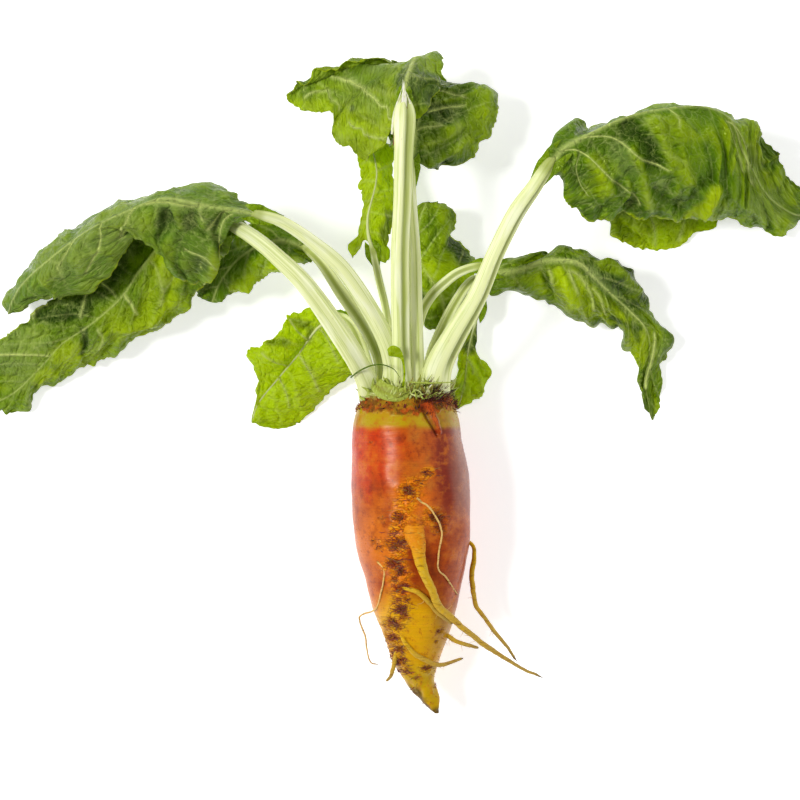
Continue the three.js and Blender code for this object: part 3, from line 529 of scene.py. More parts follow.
# The taproot from tip to crown: place along the root, middle, and radius, in millimetres.
ROOT_RINGS = [
    (-193, 23.0, 37, 1.5), (-188, 20.5, 37, 4.5), (-178, 15.3, 37, 9.5), (-161, 6.8, 39, 14.6),
    (-142, 3.9, 42, 21.9), (-121, 4.2, 45, 29.4), (-97, 3.2, 48, 37.8), (-69, 2.4, 50.5, 43.9),
    (-54, 1.2, 51.5, 48.0), (-38, 1.2, 52, 51.2), (-18, 0.6, 52, 52.6), (0, 0.4, 52, 53.0),
    (18, -0.5, 52, 53.1), (36, -1.8, 52, 52.2), (54, -3.6, 52, 49.9), (70, -4.4, 52, 47.6),
    (81, -4.4, 52, 44.6), (88, -3.6, 52, 41.5), (94, -2.7, 52, 39.0), (100, -2.7, 52, 34.5),
    (104, -2.7, 52, 26.0), (106, -2.7, 52, 12.0),
]

# Dark scars where side roots were torn off: place on the upper side, reach and strength.
SCARS = [
    (-3, 10, 7.5, 1.0), (15, 25, 7.5, 0.6), (8, 17, 5.0, 0.4), (-9, -14, 9.5, 0.9), (22, -15, 10.0, 1.0),
    (24, -24, 8.0, 0.7), (10, -19, 6.0, 0.5), (-12, -38, 11.0, 0.7), (-3, -35, 7.0, 0.6),
    (-14, -56, 9.5, 0.9), (-9, -63, 9.0, 1.0), (-7, -77, 9.0, 1.0), (-14, -70, 7.0, 0.7),
    (-9, -97, 8.0, 0.9), (-6, -103, 6.5, 0.7), (-17, -109, 9.0, 0.9), (-12, -113, 7.0, 0.7),
    (-16, -123, 7.5, 0.9), (-11, -134, 8.0, 0.9), (-9, -144, 6.5, 0.8), (-17, -139, 5.0, 0.8),
    (14, -151, 6.0, 0.8), (25, -117, 4.0, 0.8), (22, -127, 2.0, 0.5), (-26, -16, 6.0, 0.25),
    (-32, -36, 5.0, 0.3), (-28, -42, 6.0, 0.3), (-36, 52, 3.0, 0.25),
    (4, -160, 4.0, 0.5), (22, -168, 3.0, 0.7),
]

# The line on the upper side along which the scarred skin runs down the root.
SCAR_BAND = [(2, 14), (-8, -12), (-12, -40), (-10, -70), (-9, -96), (-17, -115), (-12, -140), (-6, -158)]

# The cleft in the skin below the crown and the lifted flap beside it, as lines on the upper side.
CLEFT = [(8, 88), (23, 59)]
FLAP = [(15, 86), (25, 62)]

# Where the main side root leaves the taproot, through a raised collar.
COLLAR = [(2, -15, 104), (5, -31, 103)]

# The middle of the centre stalk's top: its place across and its height.
STALK_TOP = (-7, 104)

# Torn skin round it: place across, start and end along the stalk, how far the end turns aside, and
# age from 0, white, to 1, almost black.
PAPERY_SCALES = [
    (-17, 326, 367, 2.1, 0.03), (3, 328, 368, -2.2, 0.03), (-8, 345, 371, 0.4, 0),
    (-5, 350, 372, -0.3, 0.05), (-7, 356, 374, 0, 0), (-15.6, 316, 362, 1.9, 0.56),
    (1.2, 316, 360, -1.8, 0.6),
]

# Paths of the small pieces at the crown, and the young leaf's widths.
CROWN_PIECES = {
    "young_leaf": [(-7, 102, 89), (-6, 115, 94), (-8, 127, 98), (-13, 132, 101), (-18, 134, 103),
                   (-21, 135, 103)],
    "torn_leaf_base": [(-31, 104, 83), (-24, 98, 88), (-10, 95, 91), (4, 100, 89)],
    "fallen_stalk": [(-2, 106, 93), (17, 105, 92), (37, 106, 84)],
    "dry_strand": [(-54, 110, 80), (-46, 116, 86), (-36, 120.5, 91), (-28, 121.5, 94),
                   (-22, 120.5, 95.5), (-15, 117, 96.5), (-10, 110, 95)],
    "dry_stub": [(-33, 94, 50), (-40, 99, 48), (-46, 104, 46)],
}
YOUNG_LEAF_WIDTHS = [2.0, 2.0, 3.0, 10, 11, 2.0]

# Where along the blade the midrib's control points stand, from its base.
RIB_STEPS = np.array([0.05, 0.12, 0.2, 0.3, 0.4, 0.5, 0.6, 0.7, 0.8, 0.88, 0.95])

# Points round a stalk, a side root, a root hair and a thread.
STALK_SIDES, ROOTLET_SIDES, HAIR_SIDES, THREAD_SIDES = 44, 18, 8, 5

# The floor's half width, the camera's place and the end of its view in metres, and its sensor and
# lens in millimetres.
FLOOR_HALF = 12.0
CAMERA_PLACE = (-0.0099, 0.09, 4.05)
CAMERA_REACH = 50
CAMERA_SENSOR, CAMERA_LENS = 36, 200

# Each light's direction and how wide it looks in degrees, and how bright the surroundings are
# overhead as a share of their brightness at eye level.
KEY_LIGHT = ((-0.76, 0.12, 1.0), 15)
FILL_LIGHT = ((0.9, 0.5, 1.0), 70)
OVERHEAD_SHARE = 0.12


# ---- Curves, noise and meshes ----


def unit(v):
    """Vectors made one long."""
    return v / np.maximum(np.linalg.norm(v, axis=-1, keepdims=True), 1e-9)


def curve(points, t):
    """Points at t, from 0 to 1, on a smooth curve through points that are evenly spaced in t."""
    p = np.asarray(points, float)
    if p.ndim == 1:
        p = p[:, None]
    p = np.vstack([2 * p[0] - p[1], p, 2 * p[-1] - p[-2]])
    place = np.clip(t, 0, 1) * (len(p) - 3)
    i = np.minimum(place.astype(int), len(p) - 4)
    f = (place - i)[..., None]
    a, b, c, d = p[i], p[i + 1], p[i + 2], p[i + 3]
    return 0.5 * (2 * b + (c - a) * f + (2 * a - 5 * b + 4 * c - d) * f**2
                  + (3 * b - a - 3 * c + d) * f**3)


def ease(x, low, high):
    """0 below low, 1 above high, smooth between. low may be the larger."""
    x = np.clip((x - low) / (high - low), 0, 1)
    return x * x * (3 - 2 * x)


def hashed(cell, seed):
    """A fixed number from 0 to 1 for each whole-number cell."""
    c = (cell.astype(np.int64) & KEPT_BITS).astype(np.uint64)
    kept = np.uint64(KEPT_BITS)
    h = sum(c[..., axis] * factor for axis, factor in enumerate(SCRAMBLE))
    h = (h + np.uint64(seed * SEED_SCRAMBLE)) & kept
    h = ((h ^ (h >> np.uint64(13))) * SCRAMBLE[2]) & kept
    h = h ^ (h >> np.uint64(16))
    return h.astype(float) / KEPT_BITS


def spread(*axes):
    """Up to three arrays as one array of points."""
    axes = list(np.broadcast_arrays(*axes))
    while len(axes) < 3:
        axes.append(np.zeros_like(axes[0]))
    return np.stack(axes, -1)


def noise(points, size, seed=0, octaves=1):
    """Smooth lumps from -1 to 1, about size across."""
    total, weight = 0, 0
    for octave in range(octaves):
        p = points * (2**octave / size)
        low = np.floor(p)
        f = p - low
        f = f * f * f * (f * (f * 6 - 15) + 10)
        value = 0
        for dx in (0, 1):
            for dy in (0, 1):
                for dz in (0, 1):
                    corner = hashed(low + (dx, dy, dz), seed + 31 * octave)
                    w = (f[..., 0] if dx else 1 - f[..., 0]) * (f[..., 1] if dy else 1 - f[..., 1])
                    value = value + corner * w * (f[..., 2] if dz else 1 - f[..., 2])
        total = total + (value * 2 - 1) * 0.5**octave
        weight += 0.5**octave
    return total / weight


def cells(points, size, seed=0):
    """Distances to the nearest and second nearest of centres scattered over a plane, in sizes."""
    p = points / size
    low = np.floor(p)
    first = np.full(p.shape[:-1], 9.0)
    second = first.copy()
    for dx in (-1, 0, 1):
        for dy in (-1, 0, 1):
            cell = low + (dx, dy, 0)
            x = cell[..., 0] + hashed(cell, seed) - p[..., 0]
            y = cell[..., 1] + hashed(cell, seed + 7) - p[..., 1]
            d = np.hypot(x, y)
            second = np.minimum(second, np.maximum(first, d))
            first = np.minimum(first, d)
    return first, second


def lengths(points, axis):
    """Length along an axis of a grid of points, from its start."""
    step = np.linalg.norm(np.diff(points, axis=axis), axis=-1)
    start = np.zeros_like(np.take(step, [0], axis))
    return np.concatenate([start, np.cumsum(step, axis)], axis)


def grid_quads(rows, columns, closed=False):
    """Quads between the points of a grid, joined round its columns if closed."""
    i, j = np.meshgrid(np.arange(rows - 1), np.arange(columns if closed else columns - 1),
                       indexing="ij")
    a = i * columns + j
    b = i * columns + (j + 1) % columns
    return np.stack([a, b, b + columns, a + columns], -1).reshape(-1, 4)


def tube_faces(rows, sides):
    """Faces of rings of points joined into a tube, whose two end points come after the rings."""
    j = np.arange(sides)
    k = (j + 1) % sides
    last = (rows - 1) * sides
    first_cap = np.stack([np.full(sides, rows * sides), j, k], -1)
    last_cap = np.stack([np.full(sides, rows * sides + 1), last + k, last + j], -1)
    return [grid_quads(rows, sides, closed=True)[:, ::-1], first_cap, last_cap]


def angles_round(sides):
    """Evenly spaced angles round a ring."""
    return np.arange(sides) / sides * 2 * np.pi


def at_points(values):
    """A grid's values as one list over its points."""
    return values.reshape(-1, *values.shape[2:])


def make_object(name, points, faces, fields, material, nodes):
    """A smooth-shaded piece from points in mm and arrays of faces, which stands for CAD nodes."""
    mesh = bpy.data.meshes.new(name)
    corners = np.concatenate([f.ravel() for f in faces]).astype(np.int32)
    sizes = np.concatenate([np.full(len(f), f.shape[1]) for f in faces]).astype(np.int32)
    mesh.vertices.add(len(points))
    mesh.vertices.foreach_set("co", (points * MM).astype(np.float32).ravel())
    mesh.loops.add(len(corners))
    mesh.loops.foreach_set("vertex_index", corners)
    mesh.polygons.add(len(sizes))
    mesh.polygons.foreach_set("loop_start", (np.cumsum(sizes) - sizes).astype(np.int32))
    mesh.polygons.foreach_set("loop_total", sizes)
    mesh.update(calc_edges=True)
    if mesh.validate():
        raise RuntimeError(f"{name} has faces that Blender can't use")
    mesh.shade_smooth()
    for key, values in fields.items():
        vector = values.ndim == 2
        kind = "FLOAT_VECTOR" if vector else "FLOAT"
        data = mesh.attributes.new(key, kind, "POINT").data
        data.foreach_set("vector" if vector else "value", values.astype(np.float32).ravel())
    mesh.materials.append(material)
    piece = bpy.data.objects.new(name, mesh)
    bpy.context.scene.collection.objects.link(piece)
    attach(piece, "root")
    if nodes:
        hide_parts(*nodes)


def sides_and_tops(path):
    """Directions to the side of and above each point of a path, without twist."""
    along = unit(np.gradient(path, axis=0))
    side = np.cross(along[0], (0.0, 0.0, 1.0))
    sides = []
    for direction in along:
        side = unit(side - direction * (side @ direction))
        sides.append(side)
    sides = np.array(sides)
    return sides, np.cross(sides, along)


def tube(path, radii, sides, depth=1.0, section=1.0):
    """Points and faces of a closed tube. section scales its radius, side by side or ring by ring too."""
    angle = angles_round(sides)
    side, top = sides_and_tops(path)
    r = np.asarray(radii)[:, None] * section
    ring = (path[:, None]
            + side[:, None] * (r * np.cos(angle))[..., None]
            + top[:, None] * (r * depth * np.sin(angle))[..., None])
    return with_ends(ring), tube_faces(len(path), sides)


def with_ends(ring):
    """Values over a tube's rings as one list, followed by their middles at its two ends."""
    return np.concatenate([at_points(ring), [ring[0].mean(0), ring[-1].mean(0)]])


def around(values, sides):
    """A number for each ring of a tube, for all its points and its two end points."""
    return np.concatenate([np.repeat(values, sides), values[:1], values[-1:]])


def evenly(points, step):
    """Places t on a smooth curve about step mm apart."""
    t = np.linspace(0, 1, MEASURING_STEPS)
    run = lengths(curve(points, t), 0)
    count = max(FEWEST_RINGS, int(run[-1] / step) + 1)
    return np.interp(np.linspace(0, run[-1], count), run, t)


def joined(parts):
    """Several (points, faces, fields) as one."""
    points, faces, fields = [], [], {}
    start = 0
    for p, f, d in parts:
        points.append(p)
        faces += [face + start for face in f]
        for key, values in d.items():
            fields.setdefault(key, []).append(values)
        start += len(p)
    return np.vstack(points), faces, {key: np.concatenate(v) for key, v in fields.items()}


# ---- Shaders ----


def srgb(red, green, blue):
    """A colour given from 0 to 255, as the linear numbers that a shader takes."""
    out = []
    for c in (red, green, blue):
        c /= 255
        out.append(c / 12.92 if c <= 0.04045 else ((c + 0.055) / 1.055) ** 2.4)
    return (*out, 1.0)


class Value:
    """One output of a shader node. Sums and products of it add Math nodes."""

    def __init__(self, shader, socket):
        self.shader = shader
        self.socket = socket

    def math(self, operation, *others, clamp=False):
        """This value and any others through one Math node."""
        settings = {"operation": operation, "use_clamp": clamp}
        return self.shader.node("ShaderNodeMath", settings, dict(enumerate((self, *others))))

    def __add__(self, other):
        return self.math("ADD", other)

    def __sub__(self, other):
        return self.math("SUBTRACT", other)

    def __mul__(self, other):
        return self.math("MULTIPLY", other)

    def __rsub__(self, other):
        return self.shader.node("ShaderNodeMath", {"operation": "SUBTRACT"}, {0: other, 1: self})

    __radd__ = __add__
    __rmul__ = __mul__

    def steps(self, low, high, start=0.0, end=1.0):
        """From start to end, smoothly, as this value goes from low to high."""
        return self.shader.node("ShaderNodeMapRange", {"interpolation_type": "SMOOTHSTEP"},
                                {0: self, 1: low, 2: high, 3: start, 4: end})

    def clamped(self):
        """This value, held between 0 and 1."""
        return self.math("ADD", 0.0, clamp=True)


class Shader:
    """A material and the few ways in which its nodes are made."""

    # A Mix node repeats its socket names for each kind of value, so its colour sockets go by number.
    mix_factor, mix_first, mix_second, mix_result = 0, 6, 7, 2

    def __init__(self, name):
        self.material = bpy.data.materials.new(name)
        self.material.use_nodes = True
        self.tree = self.material.node_tree
        self.tree.nodes.clear()

    def node(self, kind, settings=None, inputs=None, output=0):
        """One output of a new node of a kind, with its settings made before its sockets are filled."""
        node = self.tree.nodes.new(kind)
        for key, value in (settings or {}).items():
            if key == "stops":
                self.set_stops(node.color_ramp, value)
            else:
                setattr(node, key, value)
        for key, value in (inputs or {}).items():
            if isinstance(value, Value):
                self.tree.links.new(value.socket, node.inputs[key])
            else:
                node.inputs[key].default_value = value
        return Value(self, node.outputs[output])

    @staticmethod
    def set_stops(ramp, stops):
        """Fill a ramp with (place, colour)."""
        while len(ramp.elements) < len(stops):
            ramp.elements.new(1.0)
        for element, (place, colour) in zip(ramp.elements, stops):
            element.position = place
            element.color = colour

    def field(self, name):
        """A number stored on the mesh."""
        return self.node("ShaderNodeAttribute", {"attribute_name": name}, output="Fac")

    def place(self, name):
        """A position stored on the mesh, in millimetres."""
        return self.node("ShaderNodeAttribute", {"attribute_name": name}, output="Vector")

    def noise(self, vector, scale, detail=2.0, rough=0.5, warp=0.0):
        """Cloudy noise from 0 to 1, mostly near the middle."""
        inputs = {"Vector": vector, "Scale": scale, "Detail": detail, "Roughness": rough,
                  "Distortion": warp}
        return self.node("ShaderNodeTexNoise", None, inputs)

    def web(self, vector, scale):
        """Distance from the seams of a cellular pattern."""
        return self.node("ShaderNodeTexVoronoi", {"feature": "DISTANCE_TO_EDGE"},
                         {"Vector": vector, "Scale": scale})

    def grain(self, vector, by, detail=2.0, rough=0.5, warp=0.0):
        """Noise drawn out along some axes: by is how many lumps there are to a millimetre on each."""
        return self.noise(self.stretch(vector, by), 1.0, detail, rough, warp)

    def stretch(self, vector, by):
        """A position multiplied along each axis."""
        return self.node("ShaderNodeVectorMath", {"operation": "MULTIPLY"}, {0: vector, 1: by})

    def mix(self, first, second, factor):
        """The first colour, turning into the second as factor goes from 0 to 1."""
        inputs = {self.mix_factor: factor, self.mix_first: first, self.mix_second: second}
        return self.node("ShaderNodeMix", {"data_type": "RGBA"}, inputs, self.mix_result)

    def layers(self, colour, *layers):
        """A colour with others laid over it in turn, each with how much of it shows."""
        for over, factor in layers:
            colour = self.mix(colour, over, factor)
        return colour

    def tinted(self, colour, factor):
        """A colour made darker or lighter by a value round 1."""
        return self.node("ShaderNodeVectorMath", {"operation": "SCALE"},
                         {0: colour, "Scale": factor})

    def bump(self, height, distance, strength, normal=None):
        """The normal of a surface with relief, on top of an earlier one if given."""
        inputs = {"Height": height, "Distance": distance, "Strength": strength}
        if normal:
            inputs["Normal"] = normal
        return self.node("ShaderNodeBump", None, inputs)

    def principled(self, inputs):
        """A surface with the values or links of its sockets."""
        return self.node("ShaderNodeBsdfPrincipled", None, inputs)

    def finish(self, surface):
        """The material, with this surface on it."""
        output = self.tree.nodes.new("ShaderNodeOutputMaterial")
        self.tree.links.new(surface.socket, output.inputs["Surface"])
        return self.material


# ---- Materials ----


def leaf_material(leaves):
    """Quilted green blade that lets light through, with pale veins, painted lime light in thin places,
    painted shade and sheen.
    """
    m = Shader("leaf")
    skin = m.place("skin")
    vein, lime, deep, bloom = (m.field(key) for key in ("vein", "lime", "deep", "bloom"))
    under, rim, dome = m.field("under"), m.field("rim"), m.field("dome")
    patches = m.noise(skin, 0.03, 3)
    mottle = m.noise(skin, 0.22, 4, 0.6)
    sway = m.node("ShaderNodeTexNoise", None, {"Vector": skin, "Scale": 0.12}, output="Color")
    bent = m.node("ShaderNodeVectorMath", {"operation": "ADD"},
                  {0: skin, 1: m.stretch(sway, (9.0, 9.0, 9.0))})
    branches = m.web(bent, 0.085)
    twigs = m.web(bent, 0.27)
    lines = branches.steps(0.0, 0.035, 1.0, 0.0)
    fine_lines = twigs.steps(0.0, 0.07, 1.0, 0.0)
    pores = m.noise(skin, 1.3, 2)

    # Painted shade: deep green in folds, in the relief's hollows (low dome) and in random patches. Painted
    # light: lime on the relief's domes and where light is taken to come through the blade.
    shade = (deep + (patches - 0.55) * 0.35 + (0.42 - dome) * 1.0 + (mottle - 0.5) * 0.2).clamped()
    bright = (lime + (dome - 0.5) * 0.55 + (0.5 - patches) * 0.3).clamped()
    green = m.tinted(m.layers(
        leaves.green,
        (leaves.under, under * 0.7),
        (leaves.lime, bright),
        (leaves.deep, shade * (1.0 - lime * 0.85)),
        # A painted grey sheen, standing in for light reflected off the blade.
        (leaves.bloom, (bloom * (mottle + 0.3)).clamped() * 0.85),
    ), mottle * 0.4 + 0.72)
    green = m.layers(
        green,
        (leaves.vein, (lines * 0.2 + fine_lines * 0.07) * (mottle + 0.3)),
        (leaves.vein, (vein * 0.75).clamped()),
        # Painted light: lime along the thin rim, as light coming through the edge.
        (leaves.lime, rim * 0.6),
    )

    relief = m.bump(twigs.steps(0.0, 0.3) + pores * 0.3, 0.0006, 0.7)
    relief = m.bump(branches.steps(0.0, 0.3) + mottle * 1.2, 0.0028, 0.6, relief)
    surface = m.principled({
        "Base Color": green,
        "Roughness": (mottle * 0.3 + 0.04 + under * 0.1 + bloom * 0.14).clamped(),
        "Specular IOR Level": 0.5,
        "Specular Tint": (0.84, 1.0, 0.22, 1.0),
        "Normal": relief,
    })
    glow = m.node("ShaderNodeBsdfTranslucent", None, {"Color": leaves.glow})
    share = (bright * 0.3 + 0.18 - shade * 0.12 - vein * 0.08).clamped()
    return m.finish(m.node("ShaderNodeMixShader", None, {0: share, 1: surface, 2: glow}))


def stalk_material(stalks):
    """Pale ribbed stalk: cream with green stripes, an olive groove and a few rusty specks."""
    m = Shader("stalk")
    fibre, groove, far = m.place("fibre"), m.field("groove"), m.field("far")
    stripes = m.noise(fibre, 0.7, 3, 0.5)
    threads = m.grain(fibre, (3.0, 3.0, 0.5), 2)
    clouds = m.grain(fibre, (0.4, 0.4, 1.5), 2)
    specks = m.grain(fibre, (1.5, 1.5, 9.0), 2).steps(0.70, 0.78)
    colour = m.layers(
        stalks.cream,
        (stalks.stripe, stripes.steps(0.46, 0.72) * 0.7),
        (stalks.stripe, threads.steps(0.46, 0.32) * 0.65),
        (stalks.white, threads.steps(0.55, 0.75) * 0.5),
        (stalks.white, clouds.steps(0.46, 0.66) * 0.5),
        (stalks.groove, (groove * 0.95 - threads * 0.15).clamped()),
        (stalks.stripe, far * 0.55),
        (stalks.groove, far.steps(0.55, 0.95) * (stripes * 0.8 + 0.3)),
        (srgb(160, 120, 70), specks * 0.3),
    )
    relief = m.bump(stripes + threads * 0.6, 0.0006, 0.7)
    return m.finish(m.principled({
        "Base Color": colour,
        "Roughness": threads * 0.16 + 0.32,
        "Specular IOR Level": 0.45,
        "Subsurface Weight": 0.1,
        "Subsurface Radius": (0.003, 0.003, 0.001),
        "Normal": relief,
    }))


def root_material(roots):
    """Taproot skin: red and orange, gold at the tip, with fine rings, cracks, scars, a dry rim and painted
    shade and sheen.
    """
    m = Shader("root_skin")
    skin = m.place("skin")
    red, amber, dusk, low, gold, patch, ring, husk, flap, crown, scar, core, soil, brown, haze = (
        m.field(key) for key in ("red", "amber", "dusk", "low", "gold", "patch", "ring", "husk", "flap",
                                 "crown", "scar", "core", "soil", "brown", "haze"))
    clouds = m.noise(skin, 0.05, 4, 0.6)
    blots = m.noise(skin, 0.17, 4, 0.6)
    grain = m.noise(skin, 0.7, 3, 0.6)
    rings = m.grain(skin, (0.05, 1.1, 0.05), 3, 0.6)
    lines = m.grain(skin, (0.12, 2.6, 0.12), 2, 0.5)
    cracks = m.grain(skin, (0.12, 0.36, 0.14), 3, 0.55, 1.6)
    ridges = cracks.steps(0.5, 0.66)
    cracks = (cracks - 0.49).math("ABSOLUTE").steps(0.0, 0.04, 1.0, 0.0)
    fibres = m.grain(skin, (0.9, 0.35, 0.9), 3, 0.65, 0.6)

    # Painted shade: the right side is painted crimson and a darker gold, and its scars less orange, as if
    # turned away from the light.
    shaded = m.mix(roots.crimson, srgb(162, 64, 2), (low + (blots - 0.5) * 0.8).clamped())
    yellow = m.layers(
        roots.gold,
        (srgb(204, 126, 8), (blots * 1.6 - 0.55).clamped()),
        (srgb(126, 84, 4), dusk * 0.5),
    )
    colour = m.tinted(m.layers(
        roots.orange,
        (roots.red, (red + (clouds - 0.5) * 0.4).clamped()),
        (srgb(212, 112, 20), (amber + (clouds + blots - 1.0) * 0.8).clamped() * 0.85),
        (m.mix(srgb(184, 92, 18), srgb(158, 96, 30), clouds.steps(0.4, 0.65)),
         (brown * (blots + 0.55)).clamped() * 0.8),
        (shaded, (dusk * (blots * 1.2 + 0.35)).clamped()),
        (yellow, (gold + (blots - 0.5) * gold).clamped()),
        (srgb(214, 104, 6), (patch + (grain - 0.5) * patch * 1.6).clamped() * 0.78),
        (srgb(120, 28, 8), ((grain + blots - 1.08) * 5.0).clamped() * 0.55),
        (srgb(200, 108, 24), (clouds - blots).steps(-0.05, 0.3) * 0.6 * (1.0 - gold)),
        (srgb(116, 24, 10), (blots - clouds).steps(0.0, 0.3) * 0.5 * (1.0 - gold)),
        # Painted sheen: a greyish pink reflection painted along the right edge.
        (srgb(160, 116, 104), (haze * (clouds + 0.2)).clamped() * 0.75),
    ), rings * 0.4 + grain * 0.3 + 0.64)

    crust = m.layers(
        srgb(176, 76, 16),
        (srgb(118, 72, 14), blots.steps(0.40, 0.56)),
        (srgb(172, 136, 24), clouds.steps(0.5, 0.62) * 0.7),
        (srgb(190, 128, 40), fibres.steps(0.56, 0.68) * 0.5),
        (srgb(62, 22, 8), fibres.steps(0.44, 0.34) * 0.8),
    )
    torn = (scar.steps(0.05, 0.75) * (blots * 1.6 + 0.2 - dusk * 0.8)).clamped()
    # The dark cores of the scars, and the cleft below the crown painted dark as the shade inside it.
    scar_core_and_cleft_shade = (core * 1.2 * (fibres + 0.1)).clamped()
    specks = m.grain(skin, (0.5, 1.4, 0.5), 1).steps(0.72, 0.78)
    colour = m.layers(
        colour,
        (m.mix(roots.olive, srgb(176, 112, 12), blots.steps(0.5, 0.7)), ring),
        (crust, husk),
        (m.mix(srgb(192, 76, 20), srgb(120, 34, 12), fibres.steps(0.4, 0.62)), flap * 0.9),
        (srgb(170, 178, 84), (crown * (fibres + 0.4)).clamped()),
        (srgb(238, 136, 4), torn * 0.9 * (1.0 - gold)),
        (srgb(252, 184, 24), torn * ridges * 0.6),
        (srgb(156, 24, 14), (cracks * torn).clamped() * 0.85),
        (srgb(162, 34, 16), (scar.steps(0.45, 0.95) * (blots * 3.0 - 1.05)).clamped() * 0.7),
        (srgb(108, 18, 22), scar_core_and_cleft_shade * 0.85),
        (srgb(110, 52, 22), specks * 0.5),
        (srgb(54, 34, 18), (soil * (fibres + 0.4)).clamped()),
    )

    relief = m.bump(lines * 0.4 + rings, 0.0005, 0.4)
    relief = m.bump((ridges * 0.6 - cracks * 0.7) * torn + husk * fibres - scar_core_and_cleft_shade * 0.4, 0.0015, 0.8, relief)
    return m.finish(m.principled({
        "Base Color": colour,
        "Roughness": (blots * 0.14 + 0.22 + husk * 0.3 + scar * 0.12 + scar_core_and_cleft_shade * 0.25).clamped(),
        "Specular IOR Level": 0.24,
        "Specular Tint": (1.0, 0.66, 0.36, 1.0),
        "Coat Weight": (0.11 - husk * 0.15 - scar * 0.12).clamped(),
        "Coat Roughness": 0.24,
        "Normal": relief,
    }))


def rootlet_material(roots):
    """Side roots: golden, orange where the main one leaves the taproot, tan further out, dark ends, brown
    wrinkles.
    """
    m = Shader("side_root")
    skin, far, near, fine = m.place("skin"), m.field("far"), m.field("near"), m.field("fine")
    clouds = m.noise(skin, 0.22, 3)
    wrinkles = m.grain(skin, (0.12, 0.6, 0.12), 3, 0.6, 0.8)
    colour = m.layers(
        srgb(214, 168, 0),
        (roots.tan, (far * 1.25 + clouds - 0.6).clamped()),
        (srgb(216, 120, 0), (near * (clouds + 0.5)).clamped() * 0.85),
        (srgb(224, 184, 120), fine * 0.75),
        (srgb(226, 190, 60), clouds.steps(0.52, 0.7) * 0.4),
        (srgb(120, 72, 6), wrinkles.steps(0.54, 0.66) * 0.6),
        (srgb(70, 52, 40), far.steps(0.95, 1.0) * 0.8),
    )
    return m.finish(m.principled({
        "Base Color": colour,
        "Roughness": clouds * 0.2 + 0.42,
        "Specular IOR Level": 0.3,
        "Specular Tint": (1.0, 0.85, 0.5, 1.0),
        "Normal": m.bump(wrinkles, 0.0008, 0.9),
    }))


def scale_material():
    """Dry scales and threads at the crown and in the scars: from pale straw to black brown."""
    m = Shader("dry_scale")
    skin, age = m.place("skin"), m.field("age")
    grain = m.grain(skin, (0.9, 0.25, 0.9), 3)
    colour = m.node("ShaderNodeValToRGB", {"stops": [
        (0.0, srgb(232, 230, 214)), (0.1, srgb(206, 210, 140)), (0.24, srgb(156, 172, 52)),
        (0.34, srgb(132, 138, 30)), (0.46, srgb(140, 104, 40)), (0.72, srgb(132, 32, 16)),
        (1.0, srgb(30, 12, 8)),
    ]}, {0: (age + (grain - 0.5) * 0.35).clamped()})
    return m.finish(m.principled({
        "Base Color": colour,
        "Roughness": grain * 0.2 + 0.5,
        "Normal": m.bump(grain, 0.0004, 0.8),
    }))


def floor_material():
    """Plain white floor that lights itself a little, so that it stays white beside the beet."""
    m = Shader("plain_floor")
    place = m.node("ShaderNodeTexCoord", output="Object")
    tone = m.noise(place, 2.0, 2) * 0.01 + 0.89
    white = m.tinted((1.0, 1.0, 1.0), tone)
    return m.finish(m.principled({
        "Base Color": white,
        "Roughness": 0.7,
        "Specular IOR Level": 0.2,
        "Emission Color": (1.0, 1.0, 1.0, 1.0),
        "Emission Strength": 0.5,
    }))


# ---- Root ----


def distances(points, path):
    """Distance of each point from a path of straight pieces."""
    if len(path) == 1:
        return np.linalg.norm(points - path[0], axis=-1)
    best = np.full(points.shape[:-1], 1e9)
    for start, end in zip(path, path[1:]):
        way = end - start
        share = np.clip((points - start) @ way / max(way @ way, 1e-9), 0, 1)
        best = np.minimum(best, ((points - start - share[..., None] * way) ** 2).sum(-1))
    return np.sqrt(best)


def root_section(y):
    """Middle x, middle z and radius of the taproot at a place along it."""
    rings = curve(ROOT_RINGS, np.linspace(0, 1, MEASURING_STEPS))
    return [np.interp(y, rings[:, 0], rings[:, k]) for k in (1, 2, 3)]


def on_root(x, y, lift=0.0):
    """The point of the root's upper side above x and y, lifted off the skin."""
    middle, centre, radius = root_section(y)
    side = np.clip((x - middle) / radius, -0.98, 0.98)
    return spread(middle + (radius + lift) * side, y, centre + (radius + lift) * np.sqrt(1 - side**2))


def root_line(ends):
    """A line on the root's upper side between two places on it."""
    return on_root(*np.linspace(*ends, 8).T)


def taproot_grid(step):
    """Points of the smooth taproot, ring by ring and step mm apart, and their angles round it."""
    t = evenly(ROOT_RINGS, step)
    y, x, z, r = curve(ROOT_RINGS, t).T
    columns = int(2 * math.pi * r.max() / step)
    angle = angles_round(columns)
    ring = spread(r[:, None] * np.cos(angle), 0, r[:, None] * np.sin(angle))
    return spread(x[:, None], y[:, None], z[:, None]) + ring, angle


def scar_fields(base):
    """How far each point of the skin is in a scar, in the dark core of one, and how it swells there."""
    top = base[..., 2] > ROOT_MIDDLE
    scar, core, lump = np.zeros((3, *top.shape))
    wander = 1 + 0.6 * noise(base, 6, 21, 2)
    for x0, y0, reach, strength in SCARS:
        away = np.hypot((base[..., 0] - x0) / 1.35, base[..., 1] - y0) + np.where(top, 0, 99)
        scar = np.maximum(scar, strength * ease(away * wander, 1.25 * reach, 0.2 * reach))
        core = np.maximum(core, strength * ease(away * wander, 0.55 * reach, 0.1 * reach))
        lump = lump + strength * (np.exp(-(((away - 0.7 * reach) / (0.4 * reach)) ** 2))
                                  - 1.4 * np.exp(-((away / (0.4 * reach)) ** 2)))
    band = distances(base[..., :2], curve(SCAR_BAND, np.linspace(0, 1, 25)))
    scar = np.maximum(scar, np.where(top, 0.68 * ease(band * wander, 16, 2), 0))
    return scar, core, lump


